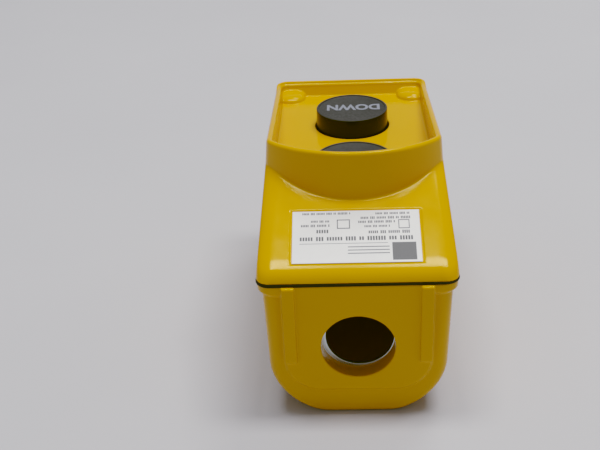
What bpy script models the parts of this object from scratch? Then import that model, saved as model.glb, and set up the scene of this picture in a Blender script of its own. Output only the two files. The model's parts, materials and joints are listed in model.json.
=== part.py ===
"""Pendant control station: a two-button hoist pendant with one normally open contact per button.

The station lies on its back. +Z points out of the button face, +X is its right side, and the
cable entry is at the -Y end. The origin is at the middle of the rear face, under the centre of
the overall length. Lengths are written in millimetres and turned into metres by MM.
"""

import math

import bmesh
import bpy

MM = 0.001

# Overall size
SEAM_HALF_WIDTH = 40.0
BODY_LENGTH = 156.0
RIB_PROUD = 1.5
MID_Y = (BODY_LENGTH - RIB_PROUD) / 2  # distances along the body start at the entry face
TOUCH_GAP = 0.3  # between pieces that rest on each other
WALL = 3.0

# Rear housing
HOUSING_TOP = 65.1
LONG_EDGE_R = 25.5
END_EDGE_R = 2.6
END_DRAFT = 0.025
SIDE_DRAFT = 0.029
RIM_STEP = 1.5  # the rim band stands out from the end faces by this
RIM_SIDE_STEP = 1.8  # and from the sides by this
RIM_REVEAL = 0.1
RIM_BAND_HEIGHT = 5.2
RIM_BAND_COVE = 1.6
CORNER_R = 5.5

# Cable entry
ENTRY_Z = 35.4
ENTRY_R = 15.1
PAD_HALF_WIDTH = 30.0
PAD_BOTTOM = 13.3
PAD_CORNER_R = 15.0
PAD_BACK = 8.4
RIB_INNER_X = 24.7
RIB_OUTER_X = 30.5
RIB_BOTTOM = 27.6
PLATE_THICK = 1.5
PLATE_HOLE_R = 14.0
PLATE_HOLE_SHIFT = 0.8
PLATE_HALF_WIDTH = 21.2
PLATE_BOTTOM = 9.5
PLATE_TOP = 59.0
GUIDE_INNER_X = 20.0
GUIDE_OUTER_X = 23.4
GUIDE_TOP = 60.0

# Gasket
GASKET_BOTTOM = 65.25
GASKET_TOP = 66.25
GASKET_WIDTH = 4.6

# Front cover
COVER_BOTTOM = 66.4
SLOPE_FOOT_Z = 70.1  # where the slope's plane meets the end face's plane
SLOPE_RISE = 0.463
SKIRT_R = 7.0  # the skirt bulges on this radius
SKIRT_TURN = 59.0  # and has turned this far, in degrees, where the slope's easing takes over
EASE_R = 45.0
COVER_LEAN = 0.085
FAR_LEAN = 0.05
SLOPE_CORNER_R = 7.5
SHOULDER_Z = 92.5
FLOOR_Z = 85.9
FLOOR_THICK = 3.0

# Label
LABEL_HALF = 25.5
LABEL_NEAR = 5.4
LABEL_FAR = 28.4

# Guard around the button well
GUARD_FOOT = 71.0
GUARD_APEX = 33.4
GUARD_ARC_R = 48.0
GUARD_CORNER_R = 9.0
GUARD_FAR_CORNER_R = 6.0
GUARD_NEAR_Z = 106.7
GUARD_FALL = 0.126
GUARD_LIP_R = 1.45
GUARD_WALL = 3.0
GUARD_SKIN = 0.02  # the guard's sides stand this far outside the sides under them
WELL_FAR = 149.8
BLISTER_X = 30.5
BLISTER_Y = 146.0
BLISTER_R = 7.2
BLISTER_HEIGHT = 3.0

# Pillars, inserts and cover screws
HOUSING_PILLAR_R = 6.2
COVER_PILLAR_R = 5.0
TRIM_INSET = 1.0
PILLAR_X = 29.0
PILLAR_STATIONS = (17.0, 144.5)
SCREW_HOLE_R = 2.3
COUNTERBORE_R = 4.3
HEAD_SEAT_Z = 46.0
INSERT_R = 2.9
INSERT_LENGTH = 6.0
COVER_SCREW_R = 1.9
COVER_SCREW_HEAD_R = 3.9

# Buttons
BUTTONS = (("up", 55.6), ("down", 111.7))
BUTTON_TRAVEL = 5.0
BRIDGE_TRAVEL = 3.0
CAP_TOP = 94.5
CAP_R = 16.8
CAP_BOTTOM = 81.5
CAP_WALL = 2.2
CAP_DISH = 0.35
BUTTON_HOLE_R = 17.6
COLLAR_WALL = 2.0
COLLAR_BOTTOM = 76.2

# Contact carrier
CARRIER_TOP = 74.0
CARRIER_BOTTOM = 71.0
CARRIER_HALF_WIDTH = 25.0
CARRIER_NEAR = 27.5
CARRIER_FAR = 140.0
CARRIER_SCREW_X = 19.5
CARRIER_SCREW_STATIONS = (33.6, 133.8)
CARRIER_BOSS_R = 4.0
BOSS_BORE_TOP = 82.3

# Button mechanism
STEM_R = 2.9
STEM_BOTTOM = 68.0
STEM_TOP = 91.2
STEM_FLANGE_R = 9.0
STEM_FLANGE_TOP = 85.6
STEM_FLANGE_THICK = 1.6
BUSH_BORE_R = 3.1
BUSH_R = 4.6
BUSH_FLANGE_R = 8.4
BUSH_FLANGE_THICK = 0.8
SPRING_COIL_R = 6.4
SPRING_WIRE_R = 0.35
SPRING_TURNS = 2.5
BOOT_FOLDS = 4
BOOT_INNER_R = 10.4
BOOT_OUTER_R = 12.6
BOOT_SKIN = 0.7
CLIP_TOP = 69.7
CLIP_THICK = 0.8
CLIP_R = 4.6

# Contact block
BLOCK_TOP = 70.7
BLOCK_BOTTOM = 41.0
BLOCK_HALF_X = 17.5
BLOCK_HALF_Y = 10.0
WINDOW_HALF_X = 10.6
WINDOW_TOP = 61.0
WINDOW_BOTTOM = 50.2
STRIP_BOTTOM = 51.0
STRIP_THICK = 1.0
STRIP_HALF_Y = 2.8
TERMINAL_X = 13.9
BRIDGE_BOTTOM = 56.6
BRIDGE_THICK = 1.0
BRIDGE_HALF_X = 8.6
STUD_X = 6.4
STUD_R = 1.7
PLUNGER_R = 2.3
CONTACT_SPRING_LOW = 46.65
CONTACT_COIL_R = 2.5
CONTACT_WIRE_R = 0.3
CONTACT_TURNS = 5
TERMINAL_SCREW_TIP = 56.5
TERMINAL_SCREW_R = 1.5
TERMINAL_HEAD_R = 2.8


def metres(point):
    """A point in body millimetres (x, distance from the entry face, height) in metres."""
    x, along, z = point
    return (x * MM, (along - MID_Y) * MM, z * MM)


def clear_scene():
    for item in list(bpy.data.objects):
        bpy.data.objects.remove(item, do_unlink=True)


def make_material(name, color, roughness, metallic=0.0):
    material = bpy.data.materials.new(name)
    material.use_nodes = True
    shader = material.node_tree.nodes["Principled BSDF"]
    shader.inputs["Base Color"].default_value = (*color, 1.0)
    shader.inputs["Roughness"].default_value = roughness
    shader.inputs["Metallic"].default_value = metallic
    return material


# --- Outlines -----------------------------------------------------------------------------------


def arc(centre, radius, start, end, steps):
    """Points on an arc about centre, from the start to the end angle in degrees."""
    points = []
    for step in range(steps + 1):
        angle = math.radians(start + (end - start) * step / steps)
        points.append((centre[0] + radius * math.cos(angle), centre[1] + radius * math.sin(angle)))
    return points


def rounded_rectangle(half_x, near, far, near_r, far_r, steps=5):
    """A rounded rectangle, symmetrical about x = 0, anticlockwise from its right far corner."""
    outline = arc((half_x - far_r, far - far_r), far_r, 0, 90, steps)
    outline += arc((-half_x + far_r, far - far_r), far_r, 90, 180, steps)
    outline += arc((-half_x + near_r, near + near_r), near_r, 180, 270, steps)
    outline += arc((half_x - near_r, near + near_r), near_r, 270, 360, steps)
    return outline


def guard_outline(half_x, far, inset, arc_steps=12, steps=4):
    """The guard's plan: a rounded rectangle whose near side is an arc, moved in by the inset."""
    half_x -= inset
    far -= inset
    arc_r = GUARD_ARC_R - inset
    corner_r = GUARD_CORNER_R - inset
    far_r = GUARD_FAR_CORNER_R - inset
    centre = GUARD_APEX + GUARD_ARC_R
    reach = arc_r - corner_r
    corner_x = half_x - corner_r
    corner_y = centre - math.sqrt(reach**2 - corner_x**2)
    turn = math.degrees(math.atan2(corner_x, centre - corner_y))
    outline = arc((half_x - far_r, far - far_r), far_r, 0, 90, steps)
    outline += arc((-half_x + far_r, far - far_r), far_r, 90, 180, steps)
    outline += arc((-corner_x, corner_y), corner_r, 180, 270 - turn, steps)
    outline += arc((0, centre), arc_r, 270 - turn, 270 + turn, arc_steps)[1:-1]
    outline += arc((corner_x, corner_y), corner_r, 270 + turn, 360, steps)
    return outline


def circle(centre, radius, steps):
    return arc(centre, radius, 0, 360 - 360 / steps, steps - 1)


# --- Solids -------------------------------------------------------------------------------------


def add_object(name, mesh, material=None):
    item = bpy.data.objects.new(name, mesh)
    bpy.context.collection.objects.link(item)
    if material:
        mesh.materials.append(material)
    return item


def loft(name, rings, material=None):
    """A closed solid through rings of the same number of points, capped at both ends."""
    form = bmesh.new()
    loops = [[form.verts.new(metres(point)) for point in ring] for ring in rings]
    count = len(loops[0])
    for lower, upper in zip(loops, loops[1:]):
        for index in range(count):
            following = (index + 1) % count
            form.faces.new((lower[index], lower[following], upper[following], upper[index]))
    form.faces.new(list(reversed(loops[0])))
    form.faces.new(loops[-1])
    bmesh.ops.recalc_face_normals(form, faces=form.faces)
    mesh = bpy.data.meshes.new(name)
    form.to_mesh(mesh)
    form.free()
    return add_object(name, mesh, material)


def prism(name, outline, low, high, material=None):
    """An upright solid with one outline, from the low to the high level."""
    rings = [[(x, y, level) for x, y in outline] for level in (low, high)]
    return loft(name, rings, material)


def box(name, x, along, z, material=None):
    """A block between pairs of limits."""
    outline = [(x[0], along[0]), (x[1], along[0]), (x[1], along[1]), (x[0], along[1])]
    return prism(name, outline, z[0], z[1], material)


def turned(name, profile, centre, steps, material=None):
    """A solid turned about the upright axis through centre.

    The profile is a closed list of (radius, level), and a point of radius 0 lies on the axis.
    """
    form = bmesh.new()
    rows = []
    for radius, level in profile:
        if radius == 0:
            rows.append([form.verts.new(metres((centre[0], centre[1], level)))] * steps)
        else:
            ring = circle(centre, radius, steps)
            rows.append([form.verts.new(metres((x, y, level))) for x, y in ring])
    for row, next_row in zip(rows, rows[1:] + rows[:1]):
        for index in range(steps):
            following = (index + 1) % steps
            corners = (row[index], row[following], next_row[following], next_row[index])
            corners = list(dict.fromkeys(corners))
            if len(corners) > 2:
                form.faces.new(corners)
    bmesh.ops.recalc_face_normals(form, faces=form.faces)
    mesh = bpy.data.meshes.new(name)
    form.to_mesh(mesh)
    form.free()
    item = add_object(name, mesh, material)
    mesh.shade_smooth()
    mesh.set_sharp_from_angle(angle=math.radians(35))
    return item


def level_cylinder(name, centre, radius, along, steps):
    """A cylinder along Y, from the first to the second distance."""
    rings = []
    for distance in along:
        ring = circle(centre, radius, steps)
        rings.append([(x, distance, z) for x, z in ring])
    return loft(name, rings)


def combine(item, tool, operation):
    """A Boolean on the item. The tool stays in the file as a hidden guide."""
    tool.hide_render = True
    tool.display_type = "WIRE"
    change = item.modifiers.new(tool.name, "BOOLEAN")
    change.operation = operation
    change.solver = "EXACT"
    change.object = tool


def cut(item, *tools):
    for tool in tools:
        combine(item, tool, "DIFFERENCE")


def join(item, *tools):
    for tool in tools:
        combine(item, tool, "UNION")


# --- Rear housing -------------------------------------------------------------------------------


def housing_ring(level, inset, band=False):
    """The housing's plan at one level, moved in by the inset, and out by the steps on the band."""
    end_step = RIM_STEP if band else 0.0
    side_step = RIM_SIDE_STEP if band else 0.0
    top_half = SEAM_HALF_WIDTH - RIM_REVEAL - RIM_SIDE_STEP
    depth = max(0.0, LONG_EDGE_R - level)
    straight_half = top_half - SIDE_DRAFT * (HOUSING_TOP - max(level, LONG_EDGE_R))
    round_in = LONG_EDGE_R - math.sqrt(LONG_EDGE_R**2 - depth**2)
    half_x = straight_half - round_in - inset + side_step
    end_depth = max(0.0, END_EDGE_R - level)
    end_in = END_EDGE_R - math.sqrt(END_EDGE_R**2 - end_depth**2)
    draft = END_DRAFT * (HOUSING_TOP - level)
    near = RIM_STEP + draft + end_in + inset - end_step
    far = BODY_LENGTH - RIM_STEP - draft - end_in - inset + end_step
    radius = max(1.0, CORNER_R - inset + end_step)
    outline = rounded_rectangle(half_x, near, far, radius, radius, steps=4)
    return [(x, y, level) for x, y in outline]


def housing_rings(inset):
    """Rings from the flat rear face up to just under the rim band."""
    levels = [LONG_EDGE_R * (1 - math.cos(math.radians(angle))) for angle in range(0, 91, 15)]
    levels[1:2] = [0.25, 0.9, 1.7, END_EDGE_R]
    levels.append(HOUSING_TOP - RIM_BAND_HEIGHT)
    rings = []
    for level in levels:
        ring = housing_ring(level, inset)
        rings.append([(x, y, z + inset) for x, y, z in ring])
    return rings


def housing_body(material):
    foot = HOUSING_TOP - RIM_BAND_HEIGHT
    rings = housing_rings(0.0)
    rings.append(housing_ring(foot + RIM_BAND_COVE, 0.0, band=True))
    rings.append(housing_ring(HOUSING_TOP, 0.0, band=True))
    return loft("rear_housing", rings, material)


def housing_cavity():
    rings = housing_rings(WALL)
    rings.append(housing_ring(HOUSING_TOP + 2, WALL))
    return loft("housing_cavity", rings)


def housing_core():
    """The housing's outer form, a little smaller: what is added inside is trimmed by it."""
    rings = housing_rings(TRIM_INSET)
    rings.append(housing_ring(HOUSING_TOP + 2, TRIM_INSET))
    return loft("housing_core", rings)


def entry_pad():
    """The flat pad around the entry, drafted like the end face and flush with the rim band."""
    lift = PAD_BOTTOM + PAD_CORNER_R
    outline = [(PAD_HALF_WIDTH, HOUSING_TOP), (-PAD_HALF_WIDTH, HOUSING_TOP)]
    outline += arc((-PAD_HALF_WIDTH + PAD_CORNER_R, lift), PAD_CORNER_R, 180, 270, 6)
    outline += arc((PAD_HALF_WIDTH - PAD_CORNER_R, lift), PAD_CORNER_R, 270, 360, 6)
    face = [(x, END_DRAFT * (HOUSING_TOP - z), z) for x, z in outline]
    back = [(x, PAD_BACK, z) for x, z in outline]
    return loft("entry_pad_solid", [face, back])


def grip_rib(side):
    """A rib beside the entry, from the seam down, bevelled at its ends."""
    stations = (
        (RIB_BOTTOM, 1.1, 0.2),
        (RIB_BOTTOM + 0.4, RIB_PROUD, 0.0),
        (HOUSING_TOP - 0.6, RIB_PROUD, 0.0),
        (HOUSING_TOP - 0.1, 1.0, 0.0),
    )
    rings = []
    for level, proud, pinch in stations:
        face = END_DRAFT * (HOUSING_TOP - level)
        inner = side * (RIB_INNER_X + pinch)
        outer = side * (RIB_OUTER_X - pinch)
        front_inner = side * (RIB_INNER_X + pinch + 0.3)
        front_outer = side * (RIB_OUTER_X - pinch - 0.3)
        ring = [(inner, face + 1, level), (front_inner, face - proud, level)]
        ring += [(front_outer, face - proud, level), (outer, face + 1, level)]
        rings.append(ring)
    return loft("grip_rib_" + ("right" if side > 0 else "left"), rings)


def pillars():
    """(side, distance) of the four corner pillars."""
    return [(side, station) for station in PILLAR_STATIONS for side in (-1, 1)]


def plate_guides():
    """Two uprights that hold the entry plate against the pad."""
    behind = PAD_BACK + PLATE_THICK + TOUCH_GAP
    guides = []
    for side in (-1, 1):
        upright = (END_EDGE_R, GUIDE_TOP)
        span = sorted((side * GUIDE_INNER_X, side * GUIDE_OUTER_X))
        guides.append(box("plate_guide", span, (behind, behind + 2), upright))
        spacer = sorted((side * (PLATE_HALF_WIDTH + TOUCH_GAP), side * GUIDE_OUTER_X))
        guides.append(box("plate_guide_spacer", spacer, (PAD_BACK - 2, behind + 1), upright))
    return guides


def make_rear_housing(material):
    housing = housing_body(material)
    cut(housing, housing_cavity())
    join(housing, entry_pad(), grip_rib(-1), grip_rib(1))
    core = housing_core()
    for guide in plate_guides():
        combine(guide, core, "INTERSECT")
        join(housing, guide)
    for side, station in pillars():
        centre = (side * PILLAR_X, station)
        outline = circle(centre, HOUSING_PILLAR_R, 16)
        pillar = prism("housing_pillar", outline, 0.0, HOUSING_TOP - 1.2)
        combine(pillar, core, "INTERSECT")
        join(housing, pillar)
    for side, station in pillars():
        centre = (side * PILLAR_X, station)
        cut(housing, prism("screw_bore", circle(centre, SCREW_HOLE_R, 12), -1.0, HOUSING_TOP + 1))
        cut(housing, prism("counterbore", circle(centre, COUNTERBORE_R, 16), -1.0, HEAD_SEAT_Z))
    cut(housing, level_cylinder("entry_bore", (0, ENTRY_Z), ENTRY_R, (-5.0, PAD_BACK + 5), 40))
    return housing


def make_entry_plate(material):
    near = PAD_BACK + TOUCH_GAP / 2
    along = (near, near + PLATE_THICK)
    wide = (-PLATE_HALF_WIDTH, PLATE_HALF_WIDTH)
    plate = box("entry_plate", wide, along, (PLATE_BOTTOM, PLATE_TOP), material)
    centre = (PLATE_HOLE_SHIFT, ENTRY_Z)
    cut(plate, level_cylinder("plate_bore", centre, PLATE_HOLE_R, (near - 3, near + 6), 36))
    return plate


# --- Seam ---------------------------------------------------------------------------------------


def make_gasket(material):
    outer = rounded_rectangle(SEAM_HALF_WIDTH, 0.0, BODY_LENGTH, CORNER_R, CORNER_R, steps=4)
    width = GASKET_WIDTH
    inner = rounded_rectangle(
        SEAM_HALF_WIDTH - width, width, BODY_LENGTH - width, 2.0, 2.0, steps=4
    )
    gasket = prism("cover_gasket", outer, GASKET_BOTTOM, GASKET_TOP, material)
    cut(gasket, prism("gasket_inside", inner, GASKET_BOTTOM - 1, GASKET_TOP + 1))
    return gasket


# --- Front cover --------------------------------------------------------------------------------


def cover_half(level):
    """The cover's half width, whose sides lean in as they rise."""
    return SEAM_HALF_WIDTH - COVER_LEAN * (level - COVER_BOTTOM)


def cover_far(level):
    return BODY_LENGTH - FAR_LEAN * (level - COVER_BOTTOM)


def slope_distance(level):
    """Where the slope reaches a level, as a distance from the entry face."""
    return (level - SLOPE_FOOT_Z) / SLOPE_RISE


def slope_level(distance):
    return SLOPE_FOOT_Z + distance * SLOPE_RISE


def cover_ring(level, near, near_r, inset):
    half_x = cover_half(level) - inset
    far_r = CORNER_R - inset
    outline = rounded_rectangle(half_x, near, cover_far(level) - inset, near_r, far_r)
    return [(x, y, level) for x, y in outline]


def foot_profile(inset, steps):
    """(share of the turn, distance, level) up the bulging skirt and onto the slope.

    The outer face turns through two arcs: the skirt's, and a wide one that eases into the slope.
    """
    bend = math.pi / 2 - math.atan(SLOPE_RISE)
    change = math.radians(SKIRT_TURN)
    far = SKIRT_R * (1 - math.cos(change)) + EASE_R * (math.cos(change) - math.cos(bend))
    ease_y = far + EASE_R * math.cos(bend)
    ease_z = slope_level(far) - EASE_R * math.sin(bend)
    skirt_z = ease_z - (SKIRT_R - EASE_R) * math.sin(change)
    start = math.asin((COVER_BOTTOM - skirt_z) / SKIRT_R)
    arcs = (
        (start, change, SKIRT_R, SKIRT_R, skirt_z),
        (change, bend, EASE_R, ease_y, ease_z),
    )
    profile = []
    for low, high, radius, centre_y, centre_z in arcs:
        for step in range(1, steps + 1):
            turn = low + (high - low) * step / steps
            near = centre_y - (radius - inset) * math.cos(turn)
            profile.append((turn / bend, near, centre_z + (radius - inset) * math.sin(turn)))
    return profile


def cover_rings(inset, levels):
    """Rings up the skirt, round the foot of the slope and up the slope through the levels."""
    rings = [cover_ring(COVER_BOTTOM - inset, inset, CORNER_R - inset, inset)]
    for part, near, level in foot_profile(inset, steps=2):
        corner = CORNER_R + (SLOPE_CORNER_R - CORNER_R) * part - inset
        rings.append(cover_ring(level, near, corner, inset))
    drop = inset * math.sqrt(1 + SLOPE_RISE**2)
    for level in levels:
        near = slope_distance(level + drop)
        rings.append(cover_ring(level, near, SLOPE_CORNER_R - inset, inset))
    return rings


def cover_body(material):
    """The skirt, the rounded edge above it, and the slope up to the shoulder."""
    return loft("front_cover", cover_rings(0.0, (SHOULDER_Z - 8.0, SHOULDER_Z)), material)


def cover_cavity():
    """The space inside: it follows the slope and stops under the button floor."""
    return loft("cover_cavity", cover_rings(WALL, (FLOOR_Z - FLOOR_THICK,)))


def cover_core():
    """The cover's outer form, a little smaller: what is added inside is trimmed by it."""
    return loft("cover_core", cover_rings(TRIM_INSET, (FLOOR_Z - TRIM_INSET,)))


def guard_top(distance):
    """The level of the guard's top edge, which falls towards the far end."""
    return GUARD_NEAR_Z - GUARD_FALL * (distance - GUARD_APEX)


def guard_ring(inset, drop):
    """A ring of the guard's top edge, the drop below the edge's plane, leaning like the sides."""
    base_half = cover_half(GUARD_FOOT)
    base_far = cover_far(GUARD_FOOT)
    ring = []
    for x, y in guard_outline(base_half, base_far, inset):
        level = guard_top(y) - drop
        lean_x = (cover_half(level) + GUARD_SKIN) / base_half
        lean_y = FAR_LEAN * (level - GUARD_FOOT) * (y - GUARD_APEX) / (base_far - GUARD_APEX)
        ring.append((x * lean_x, y - lean_y, level))
    return ring


def guard_body():
    """The guard with its rounded top edge, solid until the well is cut from it."""
    base = guard_outline(cover_half(GUARD_FOOT) + GUARD_SKIN, cover_far(GUARD_FOOT), 0.0)
    rings = [[(x, y, GUARD_FOOT) for x, y in base]]
    for angle in (0, 30, 60, 90):
        turn = math.radians(angle)
        inset = GUARD_LIP_R * (1 - math.cos(turn))
        drop = GUARD_LIP_R * (1 - math.sin(turn))
        rings.append(guard_ring(inset, drop))
    return loft("guard_solid", rings)


def well_cutter():
    """The button well, whose mouth flares into the guard's rounded top edge."""
    foot = guard_outline(cover_half(FLOOR_Z), WELL_FAR + GUARD_WALL + 0.6, GUARD_WALL + 0.6)
    rings = [[(x, y, FLOOR_Z) for x, y in foot]]
    for angle in (0, 30, 60, 90):
        turn = math.radians(angle)
        inset = GUARD_WALL - GUARD_LIP_R * (1 - math.cos(turn))
        drop = GUARD_LIP_R * (1 - math.sin(turn))
        rings.append(guard_ring(inset, drop))
    rings.append([(x, y, z + 6) for x, y, z in rings[-1]])
    return loft("button_well", rings)


def blister(side):
    """The domed top of a far pillar, in the corner of the button floor."""
    rings = []
    top = FLOOR_Z + BLISTER_HEIGHT
    steps = ((FLOOR_Z - 1, 0.0), (FLOOR_Z + 0.6, 0.1), (top - 1.2, 0.8), (top - 0.3, 1.9), (top, 3.4))
    for level, inset in steps:
        radius = BLISTER_R - inset
        outline = arc((side * BLISTER_X, BLISTER_Y), radius, 180, 360, 10)
        far = BLISTER_Y + 5.5
        outline += [(side * BLISTER_X + radius, far), (side * BLISTER_X - radius, far)]
        rings.append([(x, y, level) for x, y in outline])
    return loft("blister_" + ("right" if side > 0 else "left"), rings)


def label_corners(half, near, far, lift):
    """A rectangle that lies on the slope, lifted from it."""
    corners = ((-half, near), (half, near), (half, far), (-half, far))
    return [(x, y, slope_level(y) + lift) for x, y in corners]


def cover_additions():
    """What stands inside the cover: button collars, screw pillars and carrier bosses."""
    above = FLOOR_Z
    solids = []
    for _, station in BUTTONS:
        outline = circle((0, station), BUTTON_HOLE_R + COLLAR_WALL, 32)
        solids.append(prism("button_collar", outline, COLLAR_BOTTOM, above))
    for side, station in pillars():
        outline = circle((side * PILLAR_X, station), COVER_PILLAR_R, 16)
        solids.append(prism("cover_pillar", outline, COVER_BOTTOM, above))
    for centre in carrier_screw_centres():
        outline = circle(centre, CARRIER_BOSS_R, 12)
        solids.append(prism("carrier_boss", outline, CARRIER_TOP + TOUCH_GAP, above))
    return solids


def cover_bores():
    """The holes in those: through the collars, and blind in the pillars and bosses."""
    tools = []
    for _, station in BUTTONS:
        outline = circle((0, station), BUTTON_HOLE_R, 32)
        tools.append(prism("button_hole", outline, COLLAR_BOTTOM - 1, FLOOR_Z + 4))
    for side, station in pillars():
        outline = circle((side * PILLAR_X, station), INSERT_R + TOUCH_GAP / 2, 12)
        top = COVER_BOTTOM + INSERT_LENGTH + 1.2
        tools.append(prism("insert_bore", outline, COVER_BOTTOM - 1, top))
    for centre in carrier_screw_centres():
        tools.append(prism("boss_bore", circle(centre, 1.6, 10), CARRIER_TOP, BOSS_BORE_TOP))
    return tools


def make_front_cover(material):
    cover = cover_body(material)
    join(cover, guard_body())
    cut(cover, well_cutter())
    join(cover, blister(-1), blister(1))
    cut(cover, cover_cavity())
    core = cover_core()
    for solid in cover_additions():
        combine(solid, core, "INTERSECT")
        join(cover, solid)
    cut(cover, *cover_bores())
    low = label_corners(LABEL_HALF + 1.1, LABEL_NEAR - 0.5, LABEL_FAR + 0.6, -0.35)
    high = label_corners(LABEL_HALF + 1.1, LABEL_NEAR - 0.5, LABEL_FAR + 0.6, 3.0)
    cut(cover, loft("label_recess", [low, high]))
    return cover


def make_label(material):
    low = label_corners(LABEL_HALF, LABEL_NEAR, LABEL_FAR, -0.1)
    high = label_corners(LABEL_HALF, LABEL_NEAR, LABEL_FAR, 0.05)
    return loft("rating_label", [low, high], material)


# --- Fasteners ----------------------------------------------------------------------------------


def make_screw(name, centre, ends, shank_r, head_r, head_height, material):
    """A pan-head screw that stands upright, head down, with a hexagonal socket.

    The ends are the level its head seats at and the level of its tip.
    """
    seat, tip = ends
    profile = [
        (0, tip),
        (shank_r * 0.6, tip),
        (shank_r, tip - shank_r * 0.7),
        (shank_r, seat),
        (head_r, seat),
        (head_r, seat - head_height * 0.6),
        (head_r * 0.8, seat - head_height),
        (0, seat - head_height),
    ]
    screw = turned(name, profile, centre, 12, material)
    socket = circle(centre, head_r * 0.45, 6)
    low = seat - head_height
    cut(screw, prism(name + "_socket", socket, low - 1, low + head_height * 0.5))
    return screw


def make_cover_screws(steel, brass):
    for number, (side, station) in enumerate(pillars(), start=1):
        centre = (side * PILLAR_X, station)
        ends = (HEAD_SEAT_Z - TOUCH_GAP / 2, COVER_BOTTOM + INSERT_LENGTH + 0.4)
        name = "cover_screw_" + str(number)
        make_screw(name, centre, ends, COVER_SCREW_R, COVER_SCREW_HEAD_R, 3.2, steel)
        make_insert(number, centre, brass)


def make_insert(number, centre, material):
    """A threaded insert, ringed by the groove that holds it in the pillar."""
    low = COVER_BOTTOM + 0.1
    high = low + INSERT_LENGTH
    bore = COVER_SCREW_R + 0.15
    waist = INSERT_R - 0.35
    profile = [
        (bore, low),
        (INSERT_R, low),
        (INSERT_R, low + 2.2),
        (waist, low + 2.5),
        (waist, high - 2.5),
        (INSERT_R, high - 2.2),
        (INSERT_R, high - 0.4),
        (waist, high),
        (bore, high),
    ]
    turned("threaded_insert_" + str(number), profile, centre, 12, material)


# --- Contact carrier ----------------------------------------------------------------------------


def carrier_screw_centres():
    stations = CARRIER_SCREW_STATIONS
    return [(side * CARRIER_SCREW_X, station) for station in stations for side in (-1, 1)]


def block_screw_centres(station):
    return [(-13.5, station - 7.4), (13.5, station + 7.4)]


def make_carrier(plastic, steel):
    outline = rounded_rectangle(CARRIER_HALF_WIDTH, CARRIER_NEAR, CARRIER_FAR, 4.0, 4.0, steps=3)
    carrier = prism("contact_carrier", outline, CARRIER_BOTTOM, CARRIER_TOP, plastic)
    below = CARRIER_BOTTOM - 1
    above = CARRIER_TOP + 1
    ends = (CARRIER_BOTTOM - TOUCH_GAP / 2, CARRIER_TOP + 7)
    for number, centre in enumerate(carrier_screw_centres(), start=1):
        cut(carrier, prism("carrier_hole", circle(centre, 1.9, 10), below, above))
        name = "carrier_screw_" + str(number)
        make_screw(name, centre, ends, 1.4, 2.9, 2.2, steel)
    for _, station in BUTTONS:
        bush_hole = circle((0, station), BUSH_R + TOUCH_GAP / 2, 16)
        cut(carrier, prism("bush_hole", bush_hole, below, above))
        for centre in block_screw_centres(station):
            cut(carrier, prism("block_hole", circle(centre, 1.6, 10), below, above))
    return carrier


# --- Button mechanism ---------------------------------------------------------------------------


def make_cap(name, centre, material):
    """A hollow cap with a socket for the stem under its face."""
    inner = CAP_R - CAP_WALL
    roof = CAP_TOP - 2.5
    profile = [
        (0, CAP_TOP - CAP_DISH),
        (CAP_R - 1.3, CAP_TOP - CAP_DISH),
        (CAP_R - 1.1, CAP_TOP),
        (CAP_R - 0.45, CAP_TOP),
        (CAP_R - 0.05, CAP_TOP - 0.4),
        (CAP_R + 0.3, CAP_BOTTOM),
        (inner + 0.1, CAP_BOTTOM),
        (inner, roof),
        (STEM_R + 2.2, roof),
        (STEM_R + 2.2, STEM_FLANGE_TOP + TOUCH_GAP),
        (STEM_R + 0.2, STEM_FLANGE_TOP + TOUCH_GAP),
        (STEM_R + 0.2, roof),
        (0, roof),
    ]
    return turned(name + "_button_cap", profile, centre, 32, material)


def make_stem(name, centre, material):
    """The stem, with the flange that the spring lifts and the groove for its clip."""
    flange_bottom = STEM_FLANGE_TOP - STEM_FLANGE_THICK
    groove_r = STEM_R - 0.5
    profile = [
        (0, STEM_TOP),
        (STEM_R - 0.4, STEM_TOP),
        (STEM_R, STEM_TOP - 0.4),
        (STEM_R, STEM_FLANGE_TOP),
        (STEM_FLANGE_R, STEM_FLANGE_TOP),
        (STEM_FLANGE_R, flange_bottom),
        (STEM_R, flange_bottom),
        (STEM_R, CLIP_TOP + 0.05),
        (groove_r, CLIP_TOP + 0.05),
        (groove_r, CLIP_TOP - CLIP_THICK - 0.05),
        (STEM_R, CLIP_TOP - CLIP_THICK - 0.05),
        (STEM_R - 0.3, STEM_BOTTOM),
        (0, STEM_BOTTOM),
    ]
    return turned(name + "_button_stem", profile, centre, 16, material)


def make_clip(name, centre, material):
    """An open retaining ring that snaps into the stem's groove."""
    inner = STEM_R - 0.45
    outline = arc(centre, CLIP_R, -140, 140, 14)
    outline += arc(centre, inner, 140, -140, 10)
    low = CLIP_TOP - CLIP_THICK
    return prism(name + "_stem_clip", outline, low, CLIP_TOP, material)


def make_bush(name, centre, material):
    """A flanged bush that guides the stem and stands up inside the return spring."""
    flange_low = CARRIER_TOP + TOUCH_GAP / 2
    profile = [
        (BUSH_BORE_R, CARRIER_BOTTOM - 0.9),
        (BUSH_R, CARRIER_BOTTOM - 0.9),
        (BUSH_R, flange_low),
        (BUSH_FLANGE_R, flange_low),
        (BUSH_FLANGE_R, flange_low + BUSH_FLANGE_THICK),
        (BUSH_R - 0.4, flange_low + BUSH_FLANGE_THICK),
        (BUSH_R - 0.4, flange_low + 2.4),
        (BUSH_BORE_R, flange_low + 2.4),
    ]
    return turned(name + "_guide_bush", profile, centre, 16, material)


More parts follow.
